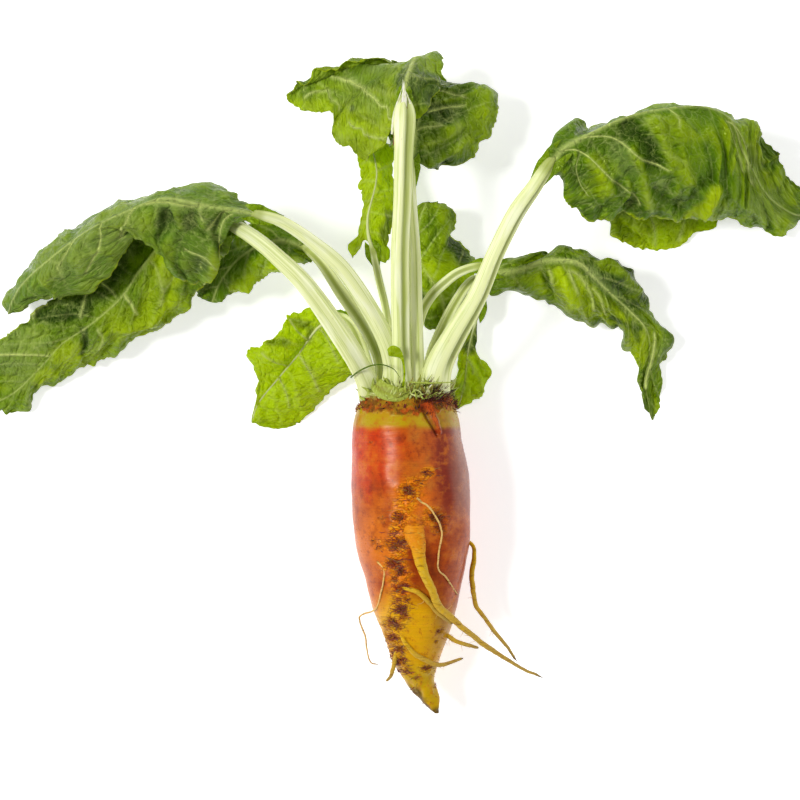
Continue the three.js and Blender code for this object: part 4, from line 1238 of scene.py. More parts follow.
def cleft_depth(base, width):
    """A cleft below the crown, 1 at its middle, as wide as given and wider towards the crown."""
    cleft = distances(base, root_line(CLEFT))
    return np.exp(-((cleft / (width + 0.07 * np.maximum(base[..., 1] - 60, 0))) ** 2))


def flap_height(base):
    """How far each point is on the skin lifted beside the cleft."""
    flap = distances(base, root_line(FLAP)) * (1 + 0.3 * noise(base, 6, 45, 2))
    flap = flap / np.interp(base[..., 1], (60, 90), (0.45, 1.1))
    return ease(flap, 6.5, 2.0) * ease(distances(base, root_line(CLEFT)), 1.0, 2.8) * (base[..., 0] > 8)


def taproot_fields(base, angle, scar, core):
    """What the root's material needs to know at each point of the smooth taproot, each 0 to 1."""
    x, y = base[..., 0], base[..., 1]
    ragged = noise(base, 8, 11, 2)
    uneven = 7 * noise(base, 17, 39) + 3 * ragged + 2.5 * noise(base, 3, 13)
    side = np.cos(angle)[None] + 0.16 * noise(base, 34, 17, 2)
    streaks = noise(base * (1, 0.16, 1), 13, 31, 2)
    mottled = noise(base * (1, 0.6, 1), 24, 35, 2) * 1.5
    golden = y + 0.55 * np.abs(x + 3) + 9 * noise(base, 22, 33, 2)
    below = ease(base[..., 2], 60, 20)
    from_patch = np.hypot(x, (y - 4) * 0.9) * (1 + 0.3 * noise(base, 12, 23))
    crown_ring = ease(y + 2.5 * noise(base, 18, 19, 2), 62.5, 69.5)
    return {
        "red": np.clip(ease(y + 20 * mottled, -10, 50) * (ease(side, 0.25, -0.5) + 0.35 - 0.9 * streaks)
                       + 0.6 * below * ease(y, -60, 0), 0, 1),
        "amber": np.clip(ease(y + 16 * mottled, 30, -50) * ease(side, 0.1, -0.5) * (1 - below)
                         + 0.8 * streaks * ease(side, 0.7, 0.2), 0, 1),
        # Painted shade on the right side of the root; low turns that shade from crimson to orange-brown
        # further down.
        "dusk": np.clip(ease(side + 0.35 * streaks, 0.0, 0.75) * ease(y, -150, -110)
                        * (1 - 0.4 * below) * (1 + 0.5 * mottled), 0, 1),
        "low": ease(y + 16 * mottled, 24, -30),
        # Painted sheen along the right edge of the upper half.
        "haze": ease(side, 0.68, 0.86) * ease(y + 20 * streaks, -30, 20) * ease(y, 84, 70) * (1 - below),
        "gold": ease(golden, -62, -92),
        "patch": np.where(base[..., 2] > ROOT_MIDDLE, ease(from_patch, 26, 8), 0),
        "ring": np.maximum(crown_ring * (0.85 + 0.3 * noise(base, 12, 37)),
                           0.7 * ease(y + 8 * mottled, -138, -162)),
        "husk": ease(y + uneven, 79.5, 83.5),
        "flap": flap_height(base),
        "crown": ease(y + 0.5 * uneven, 92, 97),
        "brown": np.exp(-(((side - 0.12 + 0.15 * streaks) / 0.34) ** 2)) * (1 - below)
        * ease(y + 8 * mottled, 74, 60) * ease(y + 10 * mottled, -25, 15),
        "scar": scar,
        # The cleft below the crown, painted with the scars' dark core as the shade inside it.
        "core": np.maximum(core, cleft_depth(base, 1.4) * (base[..., 2] > 60)),
        "soil": np.maximum(0.9 * ease(y + 3 * ragged, -186, -191),
                           0.9 * ease(side + 0.5 * ragged, -0.3, -0.75) * ease(y, -160, -174)),
    }


def taproot_height(base, fields, lump, collar):
    """How far the skin stands out of the smooth taproot."""
    y = base[..., 1]
    # Broad lumps, fine rings of skin and a twisted tip.
    height = 1.2 * noise(base, 46, 3, 2) + 0.35 * noise(base, 13, 5)
    height = height + 0.15 * noise(base * (0.06, 1, 0.06), 2.6, 7, 2)
    height = height + 2.3 * noise(base * (1, 0.6, 1), 8, 9, 2) * ease(y, -140, -176)
    # Wrinkled scars and the main side root's collar.
    wrinkles = noise(base * (0.45, 1, 0.45) + 3 * noise(base, 12, 27)[..., None], 2.6, 25, 2)
    height = height + 5.4 * collar
    height = height + 0.9 * lump + fields["scar"] * (0.9 * wrinkles + 0.8 * noise(base, 7, 29))
    # A cleft with a lifted flap beside it, and the ragged rim of the crown.
    height = height - 3.6 * cleft_depth(base, 1.3)
    height = height + (1.9 + 0.5 * noise(base, 4, 46)) * fields["flap"]
    return height + fields["husk"] * (0.6 + 1.6 * noise(base, 5, 15, 2)) * ease(y, 106, 96)


def build_taproot(roots):
    """The taproot with its scars, cleft, collar and crown rim, flat where it rests on the floor."""
    base, angle = taproot_grid(roots.detail / MM)
    outward = spread(np.cos(angle), 0, np.sin(angle))[None]
    scar, core, lump = scar_fields(base)
    collar = np.exp(-((distances(base, np.array(COLLAR, float)) / 8) ** 2))
    fields = taproot_fields(base, angle, np.maximum(scar, 0.45 * collar), core)
    points = base + outward * taproot_height(base, fields, lump, collar)[..., None]
    points[..., 2] = np.maximum(points[..., 2], 0.0)
    fields = {key: with_ends(value) for key, value in {"skin": points, **fields}.items()}
    make_object("beet_taproot", fields["skin"], tube_faces(*points.shape[:2]), fields,
                root_material(roots), ["taproot"])


def thread(path, radius, sides, step, wobble=0.0, seed=0):
    """Points and faces of a thin tapered tube along a path, and how far along it each ring is."""
    line = curve(path, evenly(path, step))
    run = lengths(line, 0)
    if wobble:
        sway = np.stack([noise(spread(run, 10 * k, 0), 12, seed + k, 3) for k in range(3)], -1)
        line = line + sway * (wobble * ease(run, 0, 6))[:, None]
    share = run / run[-1]
    points, faces = tube(line, radius(share), sides)
    return points, faces, share


def rootlet_fields(points, sides, far, near, fine):
    """The side roots' fields: how far out, how near the taproot and how thin each ring is."""
    return {"skin": points, "far": around(far, sides), "near": around(near, sides),
            "fine": around(fine, sides)}


def rootlet_hair(draw, path):
    """A short hair that leaves a side root."""
    at = draw.uniform(0.25, 0.95)
    start = curve(path, np.array([at]))[0]
    way = unit(draw.normal(size=3) * (1, 1, 0.4))
    reach = draw.uniform(3, 10)
    bend = unit(way + draw.normal(size=3) * 0.6)
    hair = [start, start + way * reach * 0.5, start + (way + bend) * reach * 0.5]
    points, faces, share = thread(hair, lambda s: 0.32 * (1 - 0.7 * s), THREAD_SIDES, 1.0)
    nought = share * 0
    return points, faces, rootlet_fields(points, THREAD_SIDES, 0.5 + 0.3 * share, nought, nought + 1)


def build_rootlet(name, rootlet, seed, material):
    """One side root or root hair, with the short hairs on it."""
    fine = name.startswith("hair")
    sides = HAIR_SIDES if fine else ROOTLET_SIDES
    widths = np.array(rootlet["widths"], float)
    path = np.array(rootlet["path"], float)
    if not fine:
        # The side root starts inside the taproot.
        middle, centre, _ = root_section(path[0][1])
        inward = unit(np.array((middle, path[0][1], centre)) - path[0])
        path = np.vstack([path[0] + inward * 7 + unit(path[0] - path[1]) * 3, path])
        widths = np.append(0.8 * widths[0], widths)

    def radius(share):
        """Half the width, bumpy, wider at the start and drawn in at the end."""
        plain = curve(widths, share)[:, 0] / 2
        bumps = 1 + (0.10 + 0.08 * fine) * noise(spread(share * 150, seed, 0), 6, 41, 2)
        return plain * bumps * (1 + 0.35 * np.exp(-share * 25)) * (1 - 0.7 * ease(share, 0.97, 1))

    points, faces, share = thread(path, radius, sides, 0.9, 1.0, seed)
    reach = np.linalg.norm(np.diff(path, axis=0), axis=-1).sum()
    near = (widths[0] > 8) * ease(share * reach, 54, 30)
    parts = [(points, faces, rootlet_fields(points, sides, share, near, share * 0 + fine))]
    draw = np.random.default_rng(300 + seed)
    if not fine:
        parts += [rootlet_hair(draw, path) for _ in range(int(3 + len(path) * 0.8))]
    points, faces, fields = joined(parts)
    points[:, 2] = np.maximum(points[:, 2], 0.3)
    make_object(f"beet_{name}", points, faces, fields, material, [name])


def scar_thread(draw, x0, y0, reach):
    """A torn thread that curls out of a scar, most often dark and sometimes tan."""
    turn = draw.uniform(0, 2 * math.pi)
    x = x0 + reach * (0.2 * math.cos(turn) + 0.22 * draw.normal())
    y = y0 + reach * (0.15 * math.sin(turn) + 0.18 * draw.normal())
    reached = draw.uniform(0.35, 0.95) * reach
    steps = np.linspace(0, 1, 6)
    heading = turn + draw.normal() * 1.2 * steps
    xs = x + np.cumsum(np.cos(heading)) * reached / 6 * 1.3
    ys = y + np.cumsum(np.sin(heading)) * reached / 6 * 0.8
    lift = 0.3 + draw.uniform(0, 0.9) * np.sin(np.pi * steps) + draw.uniform(0, 1.2) * steps**3
    thick = draw.uniform(0.18, 0.45)
    path = on_root(xs, ys, lift)
    points, faces, share = thread(path, lambda s: thick * (1 - 0.75 * s), THREAD_SIDES, 1.1)
    age = np.clip(draw.normal(0.8, 0.1) - 0.12 * share, 0.58, 1)
    if draw.random() < 0.25:
        age = 0.52 - 0.04 * share
    return points, faces, {"skin": points, "age": around(age, THREAD_SIDES)}


def tip_hair(draw):
    """A hair near the root's tip."""
    return crown_piece(draw, draw.uniform(-0.4, 3.5), draw.uniform(-190, -120), draw.uniform(0.5, 1),
                       draw.uniform(2, 6), draw.uniform(-1.2, 0.2), draw.uniform(0.3, 0.8),
                       draw.uniform(0.45, 0.85), 0.9)


def skin_wrinkle(draw, x, y):
    """A short wrinkle of torn skin between the scars."""
    turn = draw.normal() * 0.45
    reach = draw.uniform(2.5, 8)
    steps = np.linspace(-0.5, 0.5, 5)
    xs = x + math.cos(turn) * reach * steps
    ys = y + math.sin(turn) * reach * steps + draw.normal() * 1.5 * (steps**2 - 0.1)
    thick = draw.uniform(0.15, 0.4)
    points, faces, share = thread(on_root(xs, ys, 0.25),
                                  lambda s: thick * np.sin(np.pi * (0.1 + 0.8 * s)), THREAD_SIDES, 1.2)
    age = share * 0 + draw.uniform(0.66, 0.92)
    return points, faces, {"skin": points, "age": around(age, THREAD_SIDES)}


def build_scar_threads():
    """Torn threads and wrinkles round the scars on the taproot, and hairs near its tip."""
    draw = np.random.default_rng(77)
    parts = []
    for x, y, reach, strength in SCARS:
        parts += [scar_thread(draw, x, y, reach) for _ in range(int(3.8 * reach * strength))]
    parts += [tip_hair(draw) for _ in range(46)]
    wrinkles = 260
    chain = curve(SCAR_BAND, draw.uniform(0, 1, wrinkles))
    chain = chain[:, :2] + draw.normal(size=(wrinkles, 2)) * (5.0, 3.0)
    parts += [skin_wrinkle(draw, x, y) for x, y in chain]
    points, faces, fields = joined(parts)
    make_object("beet_scar_threads", points, faces, fields, scale_material(), [])


# ---- Leaves ----


def blade_points(leaf, t, s):
    """The middle surface of a blade at steps t along it and s across it, from -1 to 1."""
    rib = curve(leaf["rib"], t)
    along = unit(curve(leaf["rib"], t + 1e-3) - curve(leaf["rib"], t - 1e-3))
    share = np.abs(s)[..., None]
    halves = []
    for edge, sign in (("left", -1), ("right", 1)):
        reach = rail(leaf, edge, t) - rib
        belly = unit(np.cross(reach, along)) * sign * curve(leaf["bulge"][edge], t)
        halves.append(rib + reach * share + belly * 4 * share * (1 - share))
    return np.where((s < 0)[..., None], *halves)


def rail(leaf, edge, t):
    """Points at steps t along one edge of a blade, which ends at the tip."""
    return curve([*leaf[edge], leaf["rib"][-1]], t)


def blade_steps(leaf, step):
    """Rows about step mm apart, as places t, and how many columns fit across."""
    t = np.linspace(0, 0.997, 500)
    left, rib, right = rail(leaf, "left", t), curve(leaf["rib"], t), rail(leaf, "right", t)
    runs = [lengths(line, 0) for line in (left, rib, right)]
    run = sum(runs) / 6 + max(runs, key=lambda r: r[-1]) / 2
    rows = int(run[-1] / step)
    wide = np.linalg.norm(left - rib, axis=-1) + np.linalg.norm(right - rib, axis=-1)
    columns = 2 * int(np.percentile(wide, 85) / step / 2) + 1
    return np.interp(np.linspace(0, run[-1], rows), run, t), np.linspace(-1, 1, columns)


def surface_normals(points):
    """Directions out of the side of a grid that faces up when it is seen from base to tip."""
    return unit(np.cross(np.gradient(points, axis=1), np.gradient(points, axis=0)))


def mark_path(leaf, path):
    """Points close together on a blade along a path given in steps along and across it."""
    path = np.array(path, float)
    if len(path) > 1:
        path = curve(path, np.linspace(0, 1, 8 * len(path)))
    return blade_points(leaf, *np.clip(path, (0, -1), (1, 1)).T)


def side_veins(leaf, u, far, rel, skin, s):
    """How far each point is on a side vein, and how the skin swells between the veins."""
    # The side veins curve from the midrib towards the tip.
    phase = (u - 0.55 * far - 0.003 * far**2) / leaf["spacing"] + np.where(s < 0, 0.5, 0.0)
    phase = phase + 0.35 * noise(skin, 45, leaf["seed"]) + 0.13 * leaf["seed"]
    gap = np.abs(phase - np.round(phase)) * leaf["spacing"] * 0.85
    inner = ease(rel, 1.0, 0.78)
    vein = leaf["laterals"] * np.exp(-((gap / (1.1 - 0.6 * rel)) ** 2)) * inner
    return vein, (1 - np.exp(-((gap / 6) ** 2))) * ease(far, 1, 12) * inner


def spot_tones(leaf, base, skin):
    """How lime, how deep green and how grey each point of a blade is: partly painted light, painted shade
    and a painted sheen.
    """
    named = zip(("lime", "deep", "bloom"), leaf["tone"])
    tones = {key: np.full(base.shape[:2], tone) for key, tone in named}
    wander = 1 + 0.35 * noise(skin, 9, leaf["seed"] + 8, 2)
    for kind, size, strength, path in leaf["spots"]:
        away = distances(base, mark_path(leaf, path))
        spot = strength * ease(away * wander, 1.5 * size, 0.3 * size)
        if kind == "pale":
            tones["deep"] = tones["deep"] * (1 - spot)
            kind, spot = "lime", 0.3 * spot
        tones[kind] = np.maximum(tones[kind], spot)
    tones["lime"] = tones["lime"] * (1 - tones["deep"])
    return tones


def blade_relief(leaf, base, s):
    """Height towards the upper side, height upwards, and colour fields, over a blade's grid."""
    seed = leaf["seed"]
    along = lengths(base, 0)
    middle = base.shape[1] // 2
    across = lengths(base, 1)
    across = across - across[:, middle:middle + 1]
    far = np.abs(across)
    rel = np.broadcast_to(np.abs(s), far.shape)
    skin = spread(along, across, 60.0 * seed)
    u = along[:, middle:middle + 1]

    # Quilted skin between the side veins, with smaller puckers, creases and ridges in it.
    vein, quilt = side_veins(leaf, u, far, rel, skin, s)
    warp = spread(noise(skin, 16, seed + 3), noise(skin, 16, seed + 4), 0) * 4
    first, second = cells(skin + warp, 13, seed)
    seams = np.exp(-(((second - first) / 0.09) ** 2)) * ease(noise(skin, 26, seed + 7), -0.2, 0.5)
    puckers = 0.5 - first + 0.3 * noise(skin, 7, seed + 9, 2)
    creases = np.abs(noise(skin * (1.0, 0.7, 1.0), 52, seed + 5, 2)) * 2.2 - 0.5
    radiating = spread(u - 0.55 * far, 0.5 * across, 60.0 * seed) + warp
    ridges = (1 - np.minimum(1, 2.6 * np.abs(noise(radiating, 24, seed + 11, 2)))) ** 1.4
    height = (2.0 * quilt * (0.5 + leaf["laterals"]) + 1.3 * puckers * ease(far, 2, 8)
              + leaf["frill"] * creases * ease(far, 1, 16) + 3.4 * (ridges - 0.3) * ease(far, 2, 10))
    vein = np.maximum(vein, 0.3 * seams * ease(rel, 1, 0.9))

    # The veins and folds that this leaf has, none drawn thinner than the grid can show.
    coarse = 0.6 * np.maximum(*(np.linalg.norm(np.gradient(base, axis=k), axis=-1) for k in (0, 1)))
    for size, strength, path in leaf.get("veins", ()):
        away = distances(base, mark_path(leaf, path))
        vein = np.maximum(vein, strength * np.exp(-((away / np.maximum(0.6 * size, coarse)) ** 2)))
        height = height - 1.2 * (strength * np.exp(-((away / size) ** 2)))
    fold = np.zeros(far.shape)
    for size, strength, path in leaf.get("folds", ()):
        away = distances(base, mark_path(leaf, path))
        fold = fold + 1.9 * (strength * np.exp(-((away / size) ** 2)))

    # The relief's height, and the folds, which the material turns into painted shade in the hollows and
    # painted light on the domes.
    dome = np.clip(0.45 + (height - height.mean()) / 8 + 0.1 * fold, 0, 1)
    middle_vein = np.exp(-((far / (1.0 + 2.5 * ease(u, u.max() * 0.6, 0))) ** 2)) * 0.7
    fields = {"vein": np.maximum(vein, middle_vein), "skin": skin, "dome": dome}
    fields |= spot_tones(leaf, base, skin)
    return height - 0.5 * vein, fold * ease(far, 1, 9), fields


def blade_edges(leaf, base, t, s):
    """How far the blade ripples up and down, and how far its teeth reach out."""
    seed = leaf["seed"]
    along = lengths(base, 0)
    run = np.where(s < 0, along[:, :1], along[:, -1:])
    side = np.where(s < 0, 0.0, 500.0) + 0 * run
    rel = np.abs(s)
    at = spread(run, side, 40.0 * seed)
    beat = run / 38 + 0.6 * noise(at, 55, seed)
    ripple = (0.7 * np.sin(2 * np.pi * beat) + 0.7 * noise(at, 13, seed + 1, 2)
              + 0.3 * noise(at, 5, seed + 6))
    ripple = ripple * leaf["frill"] * (0.75 + 0.6 * noise(at, 60, seed + 4)) * ease(rel, 0.4, 1) ** 1.5
    if "calm" in leaf:
        ripple = ripple * (1 - 0.75 * ease(t[:, None], *leaf["calm"]))
    teeth = (3.0 * np.abs(noise(at, 9, seed + 2, 2)) + 2.8 * np.abs(noise(at, 4.2, seed + 3))
             + 2.0 * noise(at, 26, seed + 7) - 1.6)
    return ripple, teeth * ease(rel, 0.55, 1) * min(1.0, leaf["frill"] / 4)


def between(grid, i, j):
    """Values of a grid at places between its rows and columns."""
    a = np.clip(i.astype(int), 0, grid.shape[0] - 2)
    b = np.clip(j.astype(int), 0, grid.shape[1] - 2)
    f, g = (i - a)[:, None], (j - b)[:, None]
    return ((grid[a, b] * (1 - f) + grid[a + 1, b] * f) * (1 - g)
            + (grid[a, b + 1] * (1 - f) + grid[a + 1, b + 1] * f) * g)


def leaf_values(points, **values):
    """The leaf material's fields over a small piece, nought unless given."""
    keys = ("vein", "lime", "deep", "bloom", "dome", "rim", "under")
    return {"skin": points * 1.0, **{key: np.full(len(points), values.get(key, 0.0)) for key in keys}}


def raised_veins(leaf, t, s, points, normal):
    """Fine raised veins on the side of a blade that faces up."""
    parts = []
    for size, strength, path in leaf.get("veins", ()):
        at = curve(path, np.linspace(0, 1, 10 * len(path)))
        i = np.interp(at[:, 0], t, np.arange(len(t)))
        j = np.interp(at[:, 1], s, np.arange(len(s)))
        up = unit(between(normal, i, j))
        line = between(points, i, j) + up * np.sign(up[:, 2].mean()) * 0.15
        radius = size * strength * 0.42 * (1 - 0.6 * np.linspace(0, 1, len(line)))
        veins, faces = tube(line, radius, 6)
        parts.append((veins, faces, leaf_values(veins, vein=1.2, dome=0.5, lime=0.5)))
    return parts


def stalk_wings(leaf):
    """Strips of blade that run down both sides of the stalk's end."""
    seed = leaf["seed"]
    line = np.vstack([curve(leaf["stalk"], np.linspace(0.84, 1, 12)),
                      curve(leaf["rib"], np.linspace(0.01, 0.1, 6))])
    steps = lengths(line, 0) / lengths(line, 0)[-1]
    side, top = sides_and_tops(line)
    parts = []
    for sign in (-1, 1):
        reach = leaf["widths"][-1] * (0.42 + 0.25 * steps)
        wave = 1.5 * noise(spread(steps * 60, 20 * sign, seed), 11, 3, 2)
        path = line + side * (sign * reach)[:, None] + top * (wave + 0.5)[:, None]
        uneven = 1 + 0.3 * noise(spread(steps * 60, 9 * sign, seed), 9, 5)
        points, faces = tube(path, 0.3 + 3.6 * np.sin(np.pi * steps**1.5) * uneven, 10, 0.2)
        fields = leaf_values(points, lime=0.2, dome=0.45, deep=0.1)
        fields["skin"] = points + (0, 0, 60.0 * seed)
        parts.append((points, faces, fields))
    return parts


def sheet(points, normal, thick, upper, fields):
    """A grid as a closed sheet of some thickness: its two sides, and the rim round them."""
    rows, columns = points.shape[:2]
    count = rows * columns
    sides = [at_points(points + normal * thick / 2), at_points(points - normal * thick / 2)]
    both = {key: np.concatenate([at_points(value)] * 2) for key, value in fields.items()}
    both["under"] = np.repeat([float(upper < 0), float(upper > 0)], count)
    ring = np.concatenate([
        np.arange(columns - 1),
        np.arange(rows - 1) * columns + columns - 1,
        (rows - 1) * columns + np.arange(columns - 1, 0, -1),
        np.arange(rows - 1, 0, -1) * columns,
    ])
    follow = np.roll(ring, -1)
    top = grid_quads(rows, columns)
    rim = np.stack([ring, count + ring, count + follow, follow], -1)
    return np.vstack(sides), [top, count + top[:, ::-1], rim], both


def build_blade(name, leaf, leaves, material):
    """One blade: a thin rippled sheet with its veins, and the strips down the end of its stalk."""
    t, s = blade_steps(leaf, leaves.detail / MM)
    base = blade_points(leaf, t[:, None], s[None])
    normal = surface_normals(base)
    outward = unit(np.gradient(base, axis=1)) * np.sign(s)[None, :, None]
    height, fold, fields = blade_relief(leaf, base, s)
    ripple, teeth = blade_edges(leaf, base, t, s)
    tame = ease(t, 0, 0.05)[:, None] * ease(t, 1, 0.97)[:, None]
    shift = (height * leaf["upper"] + fold + ripple) * tame
    points = base + normal * shift[..., None] + outward * (teeth * tame)[..., None]
    points[..., 2] = np.maximum(points[..., 2], 0.5 + 0.2 * noise(points, 20, 1))
    normal = surface_normals(points)
    rel = np.abs(s)
    thick = leaves.thickness / MM * (1 - 0.5 * rel**4)[None, :, None]
    # Where painted light, lime as if coming through the thin edge, is laid along the rim.
    fields["rim"] = np.broadcast_to(ease(rel, 0.975, 1.0), points.shape[:2])
    veins = raised_veins(leaf, t, s, points, normal)
    blade = sheet(points, normal, thick, leaf["upper"], fields)
    points, faces, fields = joined([blade, *stalk_wings(leaf), *veins])
    points[:, 2] = np.maximum(points[:, 2], 0.1)
    make_object(f"beet_{name}_blade", points, faces, fields, material, [f"{name}_blade"])


def midrib(leaf):
    """Points and widths of the stalk's run along the blade, where it stands out of one side."""
    rib = curve(leaf["rib"], RIB_STEPS)
    fine = np.array([-0.02, 0.0, 0.02])
    near = [blade_points(leaf, t + fine[:, None], fine[None]) for t in RIB_STEPS]
    face = np.array([surface_normals(p)[1, 1] for p in near])
    thin = 1.2 + (leaf["widths"][-1] * 0.75 - 1.2) * (1 - RIB_STEPS) ** 4.5
    rib = rib + face * (thin * 0.4 * leaf["rise"])[:, None]
    rib[:, 2] -= (leaf["rise"] < 0) * (1.0 + 3.5 * ease(RIB_STEPS, 0.05, 0.3))
    rib[:, 2] = np.maximum(rib[:, 2], thin * 0.4 + 0.3)
    return rib, thin


def build_stalk(name, leaf, stalks, material):
    """A ribbed, grooved stalk that runs on as the blade's midrib."""
    rib, thin = midrib(leaf)
    path = np.vstack([leaf["stalk"], rib])
    t = evenly(path, stalks.detail / MM)
    line = curve(path, t)
    run = lengths(line, 0)
    width = curve([*leaf["widths"], *thin], t)[:, 0]
    width = np.maximum(width, 1.0) * (1 + 0.3 * np.exp(-run / 16))
    # The groove and its lips end where the blade begins.
    stem = (len(leaf["stalk"]) - 1) / (len(path) - 1)
    on_stalk = ease(t, stem + 0.06, stem - 0.04)[:, None]
    angle = angles_round(STALK_SIDES)
    turn, half, depth = leaf["channel"]
    off = np.abs((np.degrees(angle) - turn + 180) % 360 - 180)
    groove = np.exp(-((off / half) ** 4)) * on_stalk * ease(run, 5, 40)[:, None]
    lips = np.exp(-(((off - 1.7 * half) / (0.5 * half)) ** 2)) * on_stalk
    # Fibres run along the stalk, so the noise is drawn out that way.
    fibre = spread(np.cos(angle) * 3.2, np.sin(angle) * 3.2, (run / 70)[:, None])
    fibre = fibre + (0, 0, 9.0 * leaf["seed"])
    ribs = noise(fibre, 1.5, 51) * 0.05 + noise(fibre, 0.7, 52) * 0.016
    ribs = ribs + noise(fibre * (1, 1, 3), 2.6, 53) * 0.05
    section = 1 + ribs * (0.4 + 0.6 * on_stalk) - depth * groove + 0.07 * lips
    points, faces = tube(line, width / 2, STALK_SIDES, 0.8, section)
    past_stem = 1 - 0.3 * (leaf["rise"] > 0) * ease(t, stem, stem + 0.1)
    fields = {
        "fibre": with_ends(fibre),
        "groove": np.concatenate([groove.ravel() * min(1.0, 4 * depth), [0.0, 0.0]]),
        "far": around(np.minimum(ease(t, stem * 0.8, stem * 1.04), past_stem), STALK_SIDES),
    }
    make_object(f"beet_{name}_stalk", points, faces, fields, material, [f"{name}_stalk"])


# ---- Crown ----


def scale_piece(path, width, age, depth=0.3, sides=8, step=1.5, pointed=0.9, scoop=0.0):
    """A small flattened, tapered scale or strand, hollow on top if scooped."""
    line = curve(path, evenly(path, step))
    share = lengths(line, 0) / lengths(line, 0)[-1]
    radius = width / 2 * (1 - pointed * share**1.6) * (0.75 + 0.25 * np.sin(np.pi * share))
    angle = angles_round(sides)
    section = 1 - scoop * np.exp(-(((angle - np.pi / 2) / 0.7) ** 2))
    points, faces = tube(line, np.maximum(radius, 0.15), sides, depth, section)
    ends = around(np.asarray(age) + 0 * share, sides)
    inside = np.concatenate([np.tile(1 - section, len(share)), [0.0, 0.0]])
    return points, faces, {"skin": points, "age": np.clip(ends + 0.14 * inside - 0.06 * (scoop > 0), 0, 1)}


def crown_piece(draw, turn, y, lift, reach, lean, width, age, depth):
    """A scale, hair or leaf base that grows out of the crown at an angle round the root."""
    middle, centre, radius = root_section(y)
    out = np.array((math.cos(turn), 0.0, math.sin(turn)))
    tangent = np.array((-math.sin(turn), 0.0, math.cos(turn)))
    start = np.array((middle, y, centre)) + out * (radius - 0.8)
    way = unit(np.array((0.0, lean, 0.0)) + out * lift + tangent * draw.normal() * 0.45)
    bend = unit(way + draw.normal(size=3) * 0.25)
    path = [start, start + way * reach * 0.5, start + (way + bend) * reach * 0.5]
    return scale_piece(path, width, age, depth, 5 if width < 1.2 else 8)


def shoulder_hair(draw):
    """A short dark hair or flake on the shoulder, where they are thickest on the right."""
    turn = draw.uniform(0, 2 * math.pi)
    turn = turn - 0.36 * math.sin(2 * turn)
    right = 0.5 + 0.5 * math.cos(turn)
    width = draw.uniform(0.4, 0.9) if draw.random() < 0.8 else draw.uniform(1.2, 2.4)
    age = np.clip(draw.normal(0.7 + 0.24 * right, 0.14), 0.3, 1)
    return crown_piece(draw, turn, draw.uniform(80, 97), draw.uniform(0.2, 1.0),
                       draw.uniform(2.5, 7) * (0.7 + 0.7 * right), draw.uniform(-1.0, 1.4), width, age, 0.5)


def black_hair(draw):
    """A hair of the black tangle right of the crown's middle."""
    turn = draw.normal(math.radians(56), 0.26)
    return crown_piece(draw, turn, draw.uniform(87, 103), draw.uniform(0.5, 1.4), draw.uniform(5, 13),
                       draw.uniform(-0.8, 1.2), draw.uniform(0.5, 1.0), draw.uniform(0.85, 1), 0.9)


def leaf_base_fibre(draw, round_crown):
    """A torn fibre of an old leaf base between the stalks, at a share of the way round the crown."""
    turn = 2 * math.pi * round_crown + draw.normal() * 0.08
    return crown_piece(draw, turn, draw.uniform(91, 102), draw.uniform(0.1, 0.7), draw.uniform(6, 16), 1.0,
                       draw.uniform(1.5, 6.5), draw.uniform(0.06, 0.42), 0.3)


def build_crown_scales():
    """Ragged fringe of hairs, dry scales and pale leaf bases round the crown."""
    draw = np.random.default_rng(5)
    fibres = 170
    parts = [shoulder_hair(draw) for _ in range(420)]
    parts += [black_hair(draw) for _ in range(230)]
    parts += [leaf_base_fibre(draw, k / fibres) for k in range(fibres)]
    points, faces, fields = joined(parts)
    make_object("beet_crown_scales", points, faces, fields, scale_material(), [])


def build_papery_skin():
    """White torn skin round the pointed top of the centre stalk."""
    draw = np.random.default_rng(12)
    steps = np.linspace(0, 1, 6)
    middle, height = STALK_TOP
    parts = []
    for x, start, end, turn, age in PAPERY_SCALES:
        xs = x + turn * 4.5 * steps**2 + draw.normal(size=6) * 0.3
        z = height + 5.5 * (1 - ((xs - middle) / 9) ** 2)
        path = spread(xs, start + (end - start) * steps, z)
        parts.append(scale_piece(path, draw.uniform(2.0, 3.4) * (1 - 0.6 * (age > 0.5)), age, 0.25))
    points, faces, fields = joined(parts)
    make_object("beet_papery_skin", points, faces, fields, scale_material(), [])


def build_strands(dry, leafy):
    """The old strand over the crown and the thin stalk that has fallen across it."""
    points, faces, _ = scale_piece(CROWN_PIECES["dry_strand"], 1.7, 0, 0.7, 8, 0.8, 0.6)
    make_object("beet_dry_strand", points, faces, leaf_values(points, deep=0.75, dome=0.5), leafy,
                ["dry_strand_left", "dry_strand_right"])
    points, faces, fields = scale_piece(CROWN_PIECES["fallen_stalk"], 1.8, 0.24, 0.8, 10, 1.0, 0.4)
    make_object("beet_fallen_stalk", points, faces, fields, dry, ["fallen_stalk"])


def build_dry_stub(dry):
    """The frayed stub of an old stalk on the left."""
    draw = np.random.default_rng(8)
    path = np.array(CROWN_PIECES["dry_stub"], float)
    stubs = []
    for _ in range(14):
        shift = draw.normal(size=3) * (2.5, 2.5, 5.0)
        stubs.append(scale_piece(path + shift, draw.uniform(2, 5), draw.uniform(0.05, 0.35), 0.35, 10))
    points, faces, fields = joined(stubs)
    make_object("beet_dry_stub", points, faces, fields, dry, ["dry_stub"])


